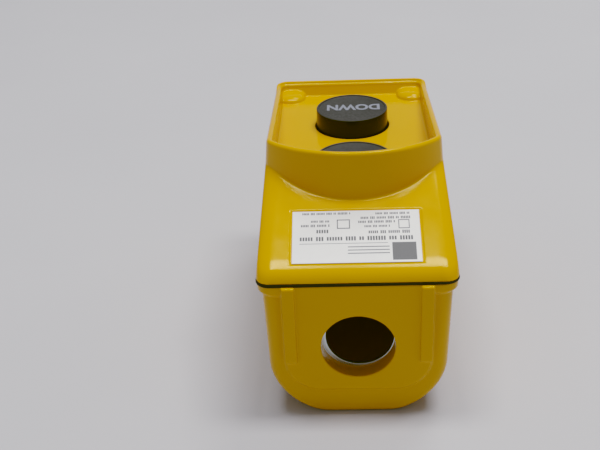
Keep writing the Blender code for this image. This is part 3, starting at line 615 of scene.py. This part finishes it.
def guard_body():
    """The guard with its rounded top edge, solid until the well is cut from it."""
    base = guard_outline(cover_half(GUARD_FOOT) + GUARD_SKIN, cover_far(GUARD_FOOT), 0.0)
    rings = [[(x, y, GUARD_FOOT) for x, y in base]]
    for angle in GUARD_STEPS:
        turn = math.radians(angle)
        inset = GUARD_LIP_R * (1 - math.cos(turn))
        rings.append(guard_ring(inset, GUARD_LIP_R * (1 - math.sin(turn))))
    return loft("guard", rings)


def well_cutter():
    """The button well, whose mouth flares into the guard's rounded top edge."""
    far = WELL_FAR + GUARD_WALL + WELL_FLARE
    foot = guard_outline(cover_half(FLOOR_Z), far, GUARD_WALL + WELL_FLARE)
    rings = [[(x, y, FLOOR_Z) for x, y in foot]]
    for angle in GUARD_STEPS:
        turn = math.radians(angle)
        inset = GUARD_WALL - GUARD_LIP_R * (1 - math.cos(turn))
        rings.append(guard_ring(inset, GUARD_LIP_R * (1 - math.sin(turn))))
    rings.append([(x, y, z + 6) for x, y, z in rings[-1]])
    return loft("button_well", rings)


def blister(side):
    """The domed top of a far pillar, in the corner of the button floor."""
    crown = BLISTER_CROWN
    spread = BLISTER_SPREAD * crown
    top = FLOOR_Z + BLISTER_HEIGHT
    steps = [(FLOOR_Z - 1, 0.0), (top - crown, 0.0)]
    for angle in range(10, 91, 10):
        turn = math.radians(angle)
        steps.append((top - crown * (1 - math.sin(turn)), spread * (1 - math.cos(turn))))
    middle = side * BLISTER_X
    far = BLISTER_Y + BLISTER_TAIL
    rings = []
    for level, inset in steps:
        radius = BLISTER_R - inset
        outline = arc((middle, BLISTER_Y), radius, 180, 360, 28)
        outline += [(middle + radius, far), (middle - radius, far)]
        rings.append([(x, y, level) for x, y in outline])
    return loft("blister", rings)


def label_recess():
    """What is cut from the slope to sink the label."""
    half = LABEL_HALF + RECESS_MARGIN
    near, far = RECESS_NEAR, RECESS_FAR
    corners = ((-half, near), (half, near), (half, far), (-half, far))
    rings = []
    for lift in (-RECESS_DEPTH, 3.0):
        rings.append([(x, y, slope_level(y) + lift) for x, y in corners])
    return loft("label_recess", rings)


def cover_additions():
    """What stands inside the cover: the button collars and the screw pillars."""
    solids = []
    for _, station in BUTTONS:
        outline = circle((0, station), BUTTON_HOLE_R + COLLAR_WALL, 96)
        solids.append(prism("collar", outline, COLLAR_BOTTOM, FLOOR_Z))
    for side, station in pillars():
        outline = circle((side * PILLAR_X, station), COVER_PILLAR_R, 32)
        solids.append(prism("pillar", outline, COVER_BOTTOM, FLOOR_Z))
    return solids


def make_cover(look):
    """The front shell, with its guard, well, button holes and label recess."""
    cover = loft("cover_shell", cover_rings(0.0, (SHOULDER_Z - 8.0, SHOULDER_Z)))
    join(cover, guard_body())
    cut(cover, well_cutter())
    join(cover, blister(-1), blister(1))
    cut(cover, loft("cavity", cover_rings(WALL, (FLOOR_Z - FLOOR_THICK,))))
    core = loft("core", cover_rings(TRIM_INSET, (FLOOR_Z - TRIM_INSET,)))
    join(cover, *trimmed(cover_additions(), core))
    for _, station in BUTTONS:
        outline = circle((0, station), BUTTON_HOLE_R, 128)
        cut(cover, prism("button_hole", outline, COLLAR_BOTTOM - 1, FLOOR_Z + 4))
    for side, station in pillars():
        outline = circle((side * PILLAR_X, station), INSERT_BORE_R, 24)
        top = COVER_BOTTOM + INSERT_BORE_DEPTH
        cut(cover, prism("insert_bore", outline, COVER_BOTTOM - 1, top))
    cut(cover, label_recess())
    settle_with_tools(cover)
    mould(cover)
    finish_piece(cover, "station", [look], ["front_cover"])


# --- Seal, plate and screws ---------------------------------------------------------------------


def left_share(x, along):
    """From 0 to 1 towards the near left corner, where the gasket is squeezed out the most."""
    across_share = (SQUEEZE_ACROSS[0] - x) / SQUEEZE_ACROSS[1]
    along_share = (SQUEEZE_ALONG[0] - along) / SQUEEZE_ALONG[1]
    return max(0.0, min(1.0, across_share)) * max(0.0, min(1.0, along_share))


def make_seal(look):
    """The gasket, squeezed so that its outer edge bulges from the seam."""
    middle = (GASKET_BOTTOM + GASKET_TOP) / 2
    half = (GASKET_TOP - GASKET_BOTTOM) / 2
    section = []
    for angle in range(-90, 91, 22):
        turn = math.radians(angle)
        inset = GASKET_INSET - (GASKET_INSET + GASKET_BULGE) * math.cos(turn)
        section.append((inset, middle + half * math.sin(turn)))
    section += [(GASKET_WIDTH, GASKET_TOP), (GASKET_WIDTH, GASKET_BOTTOM)]
    rings = []
    for inset, level in section:
        radius = max(1.0, CORNER_R - inset)
        half_x = SEAM_HALF_WIDTH - inset
        outline = rounded_rectangle(half_x, inset, BODY_LENGTH - inset, radius, radius, 16)
        squeeze = GASKET_SQUEEZE if inset < 0.1 and level < middle else 0.0
        rings.append([(x, y, level - squeeze * left_share(x, y)) for x, y in outline])
    seal = loft("seal", rings, closed=True)
    smooth(seal, 50)
    finish_piece(seal, "station", [look], ["cover_gasket"])


def make_plate(look):
    """The pressed steel plate behind the entry, with burred-over edges."""
    low, high = [Vector(corner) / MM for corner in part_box("entry_plate")]
    near, far = low.y + MID_Y, high.y + MID_Y
    rings = []
    radius = PLATE_CORNER_R
    outline = arc((high.x - radius, high.z - radius), radius, 0, 90, 8)
    outline += arc((low.x + radius, high.z - radius), radius, 90, 180, 8)
    outline += arc((low.x + radius, low.z + radius), radius, 180, 270, 8)
    outline += arc((high.x - radius, low.z + radius), radius, 270, 360, 8)
    for distance in (near, far):
        rings.append([(x, distance, z) for x, z in outline])
    plate = loft("steel_plate", rings)
    centre = (PLATE_HOLE_SHIFT, ENTRY_Z)
    cut(plate, level_cylinder("plate_bore", centre, PLATE_HOLE_R, (near - 3, far + 3), 128))
    settle_with_tools(plate)
    edge = plate.modifiers.new("edge", "BEVEL")
    edge.width = 0.25 * MM
    edge.segments = 3
    edge.limit_method = "ANGLE"
    edge.angle_limit = math.radians(50)
    settle(plate)
    smooth(plate, 40)
    finish_piece(plate, "station", [look], ["entry_plate"])


def make_cover_screw(number, centre, look):
    """A socket screw, head down in its counterbore."""
    seat = HEAD_SEAT_Z - 0.15
    face = seat - HEAD_HEIGHT
    head_r = COVER_SCREW_HEAD_R
    edge = COVER_SCREW_HEAD_ROUND
    profile = [(0, COVER_SCREW_TIP), (COVER_SCREW_R * 0.6, COVER_SCREW_TIP)]
    profile.append((COVER_SCREW_R, COVER_SCREW_TIP - COVER_SCREW_TAPER))
    profile += [(COVER_SCREW_R, seat), (head_r - 0.2, seat), (head_r, seat - 0.2)]
    for angle in range(0, 91, 18):
        turn = math.radians(angle)
        reach = head_r - edge + edge * math.cos(turn)
        profile.append((reach, face + edge - edge * math.sin(turn)))
    profile.append((0, face))
    screw = turned("cover_screw_fine_" + str(number), profile, centre, 48)
    socket = circle(centre, head_r * 0.45, 6)
    cut(screw, prism("socket", socket, face - 1, face + HEAD_HEIGHT * 0.5))
    settle_with_tools(screw)
    smooth(screw)
    finish_piece(screw, "station", [look], ["cover_screw_" + str(number)])


# --- Label print --------------------------------------------------------------------------------


def bar(form, x, along, lift=0.07, thick=0.02):
    """A thin printed bar on the label, between pairs of limits."""
    corners = ((x[0], along[0]), (x[1], along[0]), (x[1], along[1]), (x[0], along[1]))
    layers = []
    for rise in (lift, lift + thick):
        layers.append([form.verts.new(place((u, v, slope_level(v) + rise))) for u, v in corners])
    low, high = layers
    form.faces.new(high)
    form.faces.new(list(reversed(low)))
    for index in range(4):
        following = (index + 1) % 4
        form.faces.new((low[index], low[following], high[following], high[index]))


def print_row(form, start, end, middle, height):
    """A row of words: short bars of uneven length, with strokes and gaps like small type."""
    words = (5, 3, 6, 4, 2, 7, 3)
    stroke = height * 0.46
    gap = height * 0.26
    x = start
    word = 0
    while x < end:
        for _ in range(words[word % len(words)]):
            if x + stroke > end:
                break
            tall = height * (0.6 if word % 2 else 0.52)
            bar(form, (x, x + stroke), (middle - tall, middle + tall))
            x += stroke + gap
        x += height * 0.7
        word += 1


def frame_box(form, x, along, width):
    """A plain printed outline."""
    bar(form, x, (along[0], along[0] + width))
    bar(form, x, (along[1] - width, along[1]))
    bar(form, (x[0], x[0] + width), (along[0] + width, along[1] - width))
    bar(form, (x[1] - width, x[1]), (along[0] + width, along[1] - width))


def make_label_print(dark, grey):
    """Rows of unreadable bars, two plain outlines, a rule and a plain block with three lines."""
    # start and end across the label, distance up the slope, and height of the type
    rows = (
        (-21.5, -2.0, 27.2, 0.8),
        (8.0, 22.4, 26.9, 0.8),
        (2.0, 22.4, 25.0, 0.9),
        (-18.0, -10.2, 23.7, 0.8),
        (1.0, 15.6, 23.2, 0.9),
        (-22.0, -10.2, 21.8, 0.9),
        (3.4, 14.0, 21.2, 0.8),
        (-15.8, -10.6, 19.2, 1.4),
        (5.0, 21.6, 18.6, 1.1),
        (-22.4, 22.8, 15.9, 1.5),
    )
    form = bmesh.new()
    for start, end, middle, height in rows:
        print_row(form, start, end, middle, height)
    frame_box(form, (-7.6, -2.4), (20.3, 24.4), 0.35)
    frame_box(form, (17.0, 21.4), (20.0, 24.0), 0.3)
    item = add_form("label_print", form)
    finish_piece(item, "station", [dark])
    form = bmesh.new()
    bar(form, (14.1, 23.5), (6.3, 13.9))
    bar(form, (-22.6, 12.4), (13.7, 13.85))
    for distance in (9.4, 10.8, 12.2):
        bar(form, (-3.4, 13.0), (distance - 0.16, distance + 0.16))
    item = add_form("label_block", form)
    finish_piece(item, "station", [grey])


# --- Buttons ------------------------------------------------------------------------------------


def make_cap(name, station, looks):
    """A cap with a slightly sunk face, a rounded edge and a glossy drafted side."""
    inner = CAP_R - CAP_WALL
    roof = CAP_TOP - CAP_ROOF
    face = CAP_TOP - CAP_DISH
    edge = CAP_EDGE_R
    profile = [(0, face), (CAP_RING_R - 0.1, face), (CAP_RING_R, face + 0.05)]
    profile += [(CAP_RING_R + 0.08, CAP_TOP - 0.08), (CAP_RING_R + 0.18, CAP_TOP)]
    for angle in range(0, 91, 15):
        turn = math.radians(angle)
        reach = CAP_R - 0.05 - edge + edge * math.sin(turn)
        profile.append((reach, CAP_TOP - edge + edge * math.cos(turn)))
    profile += [(CAP_R + CAP_DRAFT, CAP_BOTTOM + 0.3), (CAP_R + 0.1, CAP_BOTTOM)]
    profile += [(inner + 0.3, CAP_BOTTOM), (inner, CAP_BOTTOM + 0.4), (inner, roof)]
    profile += [(CAP_SOCKET_R, roof), (CAP_SOCKET_R, CAP_SOCKET_BOTTOM)]
    profile += [(CAP_SOCKET_HOLE_R, CAP_SOCKET_BOTTOM), (CAP_SOCKET_HOLE_R, roof), (0, roof)]
    cap = turned(name + "_cap", profile, (0, station), 144)
    smooth(cap, 40)
    finish_piece(cap, name + "_button", looks, [name + "_button_cap"])
    # Upward faces take the face nylon; the rest take the darker copy, which paints the shade of
    # the sides
    for face in cap.data.polygons:
        is_top = face.center.z > (CAP_TOP - 1) * MM and face.normal.z > 0.35
        face.material_index = 0 if is_top else 1


def make_legend(name, word, station, width, look):
    """A printed word on the cap, whose top faces the cable entry."""
    right, along = LEGEND_SHIFT[0], station + LEGEND_SHIFT[1]
    curve = bpy.data.curves.new(name + "_word", "FONT")
    curve.body = word
    curve.extrude = 0.01
    curve.offset = 0.034
    curve.resolution_u = 6
    source = bpy.data.objects.new(name + "_word", curve)
    bpy.context.scene.collection.objects.link(source)
    graph = bpy.context.evaluated_depsgraph_get()
    mesh = bpy.data.meshes.new_from_object(source.evaluated_get(graph), depsgraph=graph)
    bpy.data.objects.remove(source)
    xs = [vertex.co.x for vertex in mesh.vertices]
    ys = [vertex.co.y for vertex in mesh.vertices]
    middle = Vector(((min(xs) + max(xs)) / 2, (min(ys) + max(ys)) / 2, 0))
    wide = width / (max(xs) - min(xs))
    tall = LEGEND_HEIGHT / (max(ys) - min(ys))
    for vertex in mesh.vertices:
        local = vertex.co - middle
        level = CAP_TOP - CAP_DISH + (0.03 if local.z > 0 else -0.02)
        vertex.co = place((right - local.x * wide, along - local.y * tall, level))
    item = bpy.data.objects.new(name + "_legend", mesh)
    bpy.context.scene.collection.objects.link(item)
    finish_piece(item, name + "_button", [look])


def make_coil(name, station, span, coil_r, wire_r, turns):
    """A compression spring with flat closed ends, between the span's two levels."""
    per_turn = 32
    sides = 10
    end_turns = 0.8
    total = turns + 2 * end_turns
    count = int(total * per_turn)
    low, high = span
    rings = []
    for index in range(count + 1):
        turn = total * index / count
        active = min(max(turn - end_turns, 0.0), turns) / turns
        level = low + wire_r + (high - low - 2 * wire_r) * active
        angle = 2 * math.pi * turn
        ring = []
        for side in range(sides):
            roll = 2 * math.pi * side / sides
            reach = coil_r + wire_r * math.cos(roll)
            x = reach * math.cos(angle)
            y = station + reach * math.sin(angle)
            ring.append((x, y, level + wire_r * math.sin(roll)))
        rings.append(ring)
    coil = loft(name, rings)
    smooth(coil, 40)
    return coil


def make_springs(name, station, look):
    """The return spring and the contact spring, each coiled at rest between the levels of its CAD
    node.
    """
    low, high = [corner[2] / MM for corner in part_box(name + "_return_spring")]
    spring = make_coil(name + "_return_coil", station, (low, high), **RETURN_COIL)
    finish_piece(spring, "station", [look], [name + "_return_spring"])
    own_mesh(spring)
    low, high = [corner[2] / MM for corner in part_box(name + "_contact_spring")]
    spring = make_coil(name + "_contact_coil", station, (low, high), **CONTACT_COIL)
    finish_piece(spring, "station", [look], [name + "_contact_spring"])
    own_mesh(spring)


def make_boot(name, station, look):
    """The rubber bellows round the return spring, with rounded folds."""
    low, high = [corner[2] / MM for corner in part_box(name + "_button_boot")]
    steps = 64
    outside = []
    inside = []
    for index in range(steps + 1):
        level = low + (high - low) * index / steps
        radius = BOOT_R - BOOT_SWING * math.cos(2 * math.pi * BOOT_FOLDS * index / steps)
        outside.append((radius + BOOT_SKIN, level))
        inside.append((radius - BOOT_SKIN, level))
    inside[-1] = (BOOT_NECK_R, high)
    inside[-2] = (BOOT_NECK_R + 0.2, high - 0.5)
    boot = turned(name + "_boot", outside + list(reversed(inside)), (0, station), 72)
    smooth(boot, 50)
    finish_piece(boot, "station", [look], [name + "_button_boot"])
    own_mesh(boot)


# --- Materials ----------------------------------------------------------------------------------


class Look:
    """A material under construction, with short names for its usual nodes."""

    def __init__(self, name, color, roughness, metallic=0.0):
        self.material = bpy.data.materials.new(name)
        self.material.use_nodes = True
        self.tree = self.material.node_tree
        self.shader = self.tree.nodes["Principled BSDF"]
        self.shader.inputs["Base Color"].default_value = (*color, 1.0)
        self.shader.inputs["Roughness"].default_value = roughness
        self.shader.inputs["Metallic"].default_value = metallic
        self.coords = self.add("ShaderNodeTexCoord").outputs["Object"]

    def add(self, kind):
        return self.tree.nodes.new(kind)

    def link(self, source, target):
        self.tree.links.new(source, target)

    def noise(self, scale, detail=3.0, roughness=0.5, stretch=None):
        """Noise in the object's own space, stretched along an axis if asked."""
        node = self.add("ShaderNodeTexNoise")
        node.inputs["Scale"].default_value = scale
        node.inputs["Detail"].default_value = detail
        node.inputs["Roughness"].default_value = roughness
        source = self.coords
        if stretch:
            mapping = self.add("ShaderNodeMapping")
            mapping.inputs["Scale"].default_value = stretch
            self.link(source, mapping.inputs["Vector"])
            source = mapping.outputs["Vector"]
        self.link(source, node.inputs["Vector"])
        return node.outputs["Fac"]

    def ramp(self, source, low, high):
        """A value or colour that runs from low to high over the middle of the source's range."""
        node = self.add("ShaderNodeValToRGB")
        for element, position, value in zip(node.color_ramp.elements, (0.35, 0.65), (low, high)):
            element.position = position
            if isinstance(value, (int, float)):
                value = (value, value, value)
            element.color = (*value, 1.0)
        self.link(source, node.inputs["Fac"])
        return node.outputs["Color"]

    def bump(self, source, distance):
        """The normal of a surface raised by the source, up to the distance in metres."""
        node = self.add("ShaderNodeBump")
        node.inputs["Distance"].default_value = distance
        self.link(source, node.inputs["Height"])
        return node.outputs["Normal"]

    def set(self, name, source):
        self.link(source, self.shader.inputs[name])


def yellow_plastic():
    """Glossy injection-moulded safety yellow, with faint flow waviness and handling haze."""
    look = Look("yellow_plastic", (0.68, 0.326, 0.0), 0.15)
    look.shader.inputs["Specular IOR Level"].default_value = 0.26
    look.shader.inputs["Specular Tint"].default_value = (1.0, 1.0, 0.5, 1.0)
    tone = look.noise(22.0, 4.0)
    look.set("Base Color", look.ramp(tone, (0.67, 0.319, 0.0), (0.69, 0.333, 0.0)))
    haze = look.noise(110.0, 5.0, 0.6)
    look.set("Roughness", look.ramp(haze, 0.12, 0.18))
    look.set("Normal", look.bump(look.noise(45.0, 2.0), 0.00005))
    return look.material


def cap_face():
    """The caps' tops: grey-black nylon with a fine spark-eroded texture."""
    look = Look("cap_face", (0.032, 0.032, 0.032), 0.55)
    look.shader.inputs["Specular IOR Level"].default_value = 0.3
    tone = look.noise(300.0, 4.0)
    look.set("Base Color", look.ramp(tone, (0.029, 0.029, 0.029), (0.036, 0.036, 0.036)))
    look.set("Roughness", look.ramp(look.noise(900.0, 3.0), 0.48, 0.62))
    look.set("Normal", look.bump(look.noise(5200.0, 3.0), 0.00002))
    return look.material


def cap_side_painted_shade():
    """The caps' sides: the same nylon off a polished ring of the mould, its colour darkened as
    painted shade.
    """
    # Base colour well under the faces' 0.032: painted shade on the caps' upright sides
    look = Look("cap_side_painted_shade", (0.009, 0.012, 0.009), 0.2)
    look.shader.inputs["Specular IOR Level"].default_value = 0.2
    look.set("Roughness", look.ramp(look.noise(400.0, 4.0), 0.16, 0.26))
    look.set("Normal", look.bump(look.noise(900.0, 2.0), 0.000006))
    return look.material


def rubber(name, tone):
    """Matt black rubber, slightly warm."""
    look = Look(name, (tone, tone * 0.9, tone * 0.7), 0.65)
    look.shader.inputs["Specular IOR Level"].default_value = 0.25
    look.set("Roughness", look.ramp(look.noise(700.0, 4.0), 0.55, 0.78))
    look.set("Normal", look.bump(look.noise(3000.0, 3.0), 0.00003))
    return look.material


def metal(name, color, roughness, lines=(1.0, 1.0, 1.0)):
    """A metal with a faint spangle, drawn out along an axis whose share in lines is small."""
    look = Look(name, color, roughness, 1.0)
    spangle = look.noise(220.0, 4.0, 0.6, lines)
    dark = tuple(part * 0.88 for part in color)
    look.set("Base Color", look.ramp(spangle, dark, color))
    look.set("Roughness", look.ramp(spangle, roughness * 0.8, roughness * 1.3))
    look.set("Normal", look.bump(look.noise(1400.0, 3.0, 0.5, lines), 0.00001))
    return look.material


def moulded(name, color, roughness=0.45):
    """A plain moulded plastic for the inside pieces."""
    look = Look(name, color, roughness)
    dark = tuple(part * 0.85 for part in color)
    look.set("Base Color", look.ramp(look.noise(120.0, 4.0), dark, color))
    look.set("Roughness", look.ramp(look.noise(600.0), roughness * 0.85, roughness * 1.15))
    look.set("Normal", look.bump(look.noise(2500.0), 0.00001))
    return look.material


def label_film():
    """Satin white polyester film, very slightly mottled."""
    look = Look("label_film", (0.8, 0.79, 0.77), 0.38)
    tone = look.noise(90.0, 5.0)
    look.set("Base Color", look.ramp(tone, (0.78, 0.77, 0.755), (0.81, 0.8, 0.785)))
    look.set("Normal", look.bump(look.noise(160.0, 2.0), 0.00003))
    return look.material


def ink(name, color):
    """Printing ink, faintly uneven."""
    look = Look(name, color, 0.5)
    dark = tuple(part * 0.8 for part in color)
    look.set("Base Color", look.ramp(look.noise(2500.0, 3.0), dark, color))
    return look.material


def paper_floor():
    """The pale sweep that the station lies on."""
    look = Look("paper_floor", (0.56, 0.555, 0.57), 0.8)
    tone = look.noise(6.0, 4.0)
    look.set("Base Color", look.ramp(tone, (0.55, 0.545, 0.56), (0.565, 0.56, 0.575)))
    return look.material


YELLOW = yellow_plastic()
STEEL = metal("steel", (0.6, 0.6, 0.6), 0.32)
BOOT = rubber("boot_rubber", 0.03)
LOOKS = {
    "yellow_plastic": YELLOW,
    "cap_plastic": cap_side_painted_shade(),
    "gasket_rubber": rubber("gasket_rubber", 0.013),
    "boot_rubber": BOOT,
    "zinc_steel": metal("zinc_steel", (0.62, 0.68, 0.7), 0.28, (1.0, 1.0, 0.15)),
    "steel": STEEL,
    "brass": metal("brass", (0.8, 0.58, 0.26), 0.3),
    "label_film": label_film(),
    "acetal": moulded("acetal", (0.78, 0.78, 0.74), 0.4),
    "block_plastic": moulded("block_plastic", (0.06, 0.16, 0.09)),
    "carrier_plastic": moulded("carrier_plastic", (0.1, 0.1, 0.105)),
}


def dress_nodes():
    """Every CAD node gets the material of its slot, and smooth shading."""
    for part in frame["record"]["subparts"]:
        node = NODES[part["node"]]
        node.data.materials.clear()
        node.data.materials.append(LOOKS[part["material_slot"]])
        node.data.set_sharp_from_angle(angle=math.radians(35))


# --- Stage --------------------------------------------------------------------------------------


def make_camera():
    """The camera in front of the cable entry, above the station and turned slightly."""
    camera = bpy.data.cameras.new("camera")
    camera.lens = CAMERA_LENS
    camera.sensor_width = 36.0
    camera.clip_start = 0.01
    viewer = bpy.data.objects.new("camera", camera)
    bpy.context.scene.collection.objects.link(viewer)
    reach = math.cos(CAMERA_PITCH)
    right, away = math.sin(CAMERA_YAW) * reach, math.cos(CAMERA_YAW) * reach
    forward = Vector((right, away, math.sin(CAMERA_PITCH)))
    turn = forward.to_track_quat("-Z", "Y") @ Quaternion((0, 0, 1), CAMERA_ROLL)
    viewer.matrix_world = Matrix.LocRotScale(place(CAMERA_SPOT), turn, None)
    bpy.context.scene.camera = viewer


def softbox(name, spot, size, power):
    """A rectangular lamp that faces straight down from the spot."""
    light = bpy.data.lights.new(name, "AREA")
    light.shape = "RECTANGLE"
    light.size, light.size_y = size
    light.energy = power
    lamp = bpy.data.objects.new(name, light)
    bpy.context.scene.collection.objects.link(lamp)
    aim = Vector((0, 0, -1)).to_track_quat("-Z", "Y")
    lamp.matrix_world = Matrix.LocRotScale(spot, aim, None)


def make_sweep():
    """A pale sheet, in metres, that runs under the station and curves up behind it."""
    half = 3.0
    back = 1.6
    bend_r = 0.8
    profile = [(-2.5, 0.0), (back, 0.0)]
    for step in range(1, 13):
        angle = math.radians(90 * step / 12)
        profile.append((back + bend_r * math.sin(angle), bend_r * (1 - math.cos(angle))))
    profile.append((back + bend_r, 3.0))
    mesh = bpy.data.meshes.new("sweep")
    points = [(side, y, z) for y, z in profile for side in (-half, half)]
    faces = [(2 * n, 2 * n + 1, 2 * n + 3, 2 * n + 2) for n in range(len(profile) - 1)]
    mesh.from_pydata(points, [], faces)
    mesh.materials.append(paper_floor())
    mesh.shade_smooth()
    sweep = bpy.data.objects.new("sweep", mesh)
    bpy.context.scene.collection.objects.link(sweep)


def make_lights():
    """A dim even surround and three soft lamps overhead."""
    world = bpy.data.worlds.new("studio")
    world.use_nodes = True
    background = world.node_tree.nodes["Background"]
    background.inputs["Color"].default_value = (0.97, 0.98, 1.0, 1.0)
    background.inputs["Strength"].default_value = 0.28
    bpy.context.scene.world = world
    softbox("left_softbox", (-0.35, 0.02, 2.2), (0.6, 0.42), 18.5)
    softbox("right_softbox", (0.55, 0.02, 2.2), (1.0, 0.42), 31.0)
    softbox("back_light", (0.6, 1.0, 2.2), (0.7, 0.7), 15.0)


def make_film_response():
    """A camera's tones: a trace of flare, a long shoulder, and blues that drop out when dark."""
    view = bpy.context.scene.view_settings
    view.view_transform = "Standard"
    view.use_curve_mapping = True
    view.curve_mapping.extend = "EXTRAPOLATED"
    reds, greens, blues = (curve.points for curve in view.curve_mapping.curves[:3])
    reds[0].location = (0.0, 0.005)
    greens[0].location = (0.0, 0.004)
    for light, shown in ((0.012, 0.001), (0.03, 0.012), (0.08, 0.074)):
        blues.new(light, shown)
    tones = view.curve_mapping.curves[3].points
    for light, shown in ((0.02, 0.016), (0.06, 0.051), (0.17, 0.172), (0.36, 0.323), (0.6, 0.46)):
        tones.new(light, shown)
    tones[-1].location = (1.0, 0.62)
    view.curve_mapping.update()


def main():
    """The stage first, then the fine pieces that stand in for CAD nodes."""
    make_camera()
    make_sweep()
    make_lights()
    make_film_response()
    dress_nodes()
    make_housing(YELLOW)
    make_cover(YELLOW)
    make_seal(LOOKS["gasket_rubber"])
    make_plate(LOOKS["zinc_steel"])
    for number, (side, station) in enumerate(pillars(), start=1):
        make_cover_screw(number, (side * PILLAR_X, station), STEEL)
    make_label_print(ink("label_ink", (0.05, 0.05, 0.05)), ink("label_grey", (0.08, 0.08, 0.08)))
    cap_looks = [cap_face(), LOOKS["cap_plastic"]]
    legend_ink = ink("legend_grey", (0.24, 0.26, 0.3))
    for name, station in BUTTONS:
        make_cap(name, station, cap_looks)
        make_legend(name, name.upper(), station, LEGEND_WIDTHS[name], legend_ink)
        make_springs(name, station, STEEL)
        make_boot(name, station, BOOT)


main()
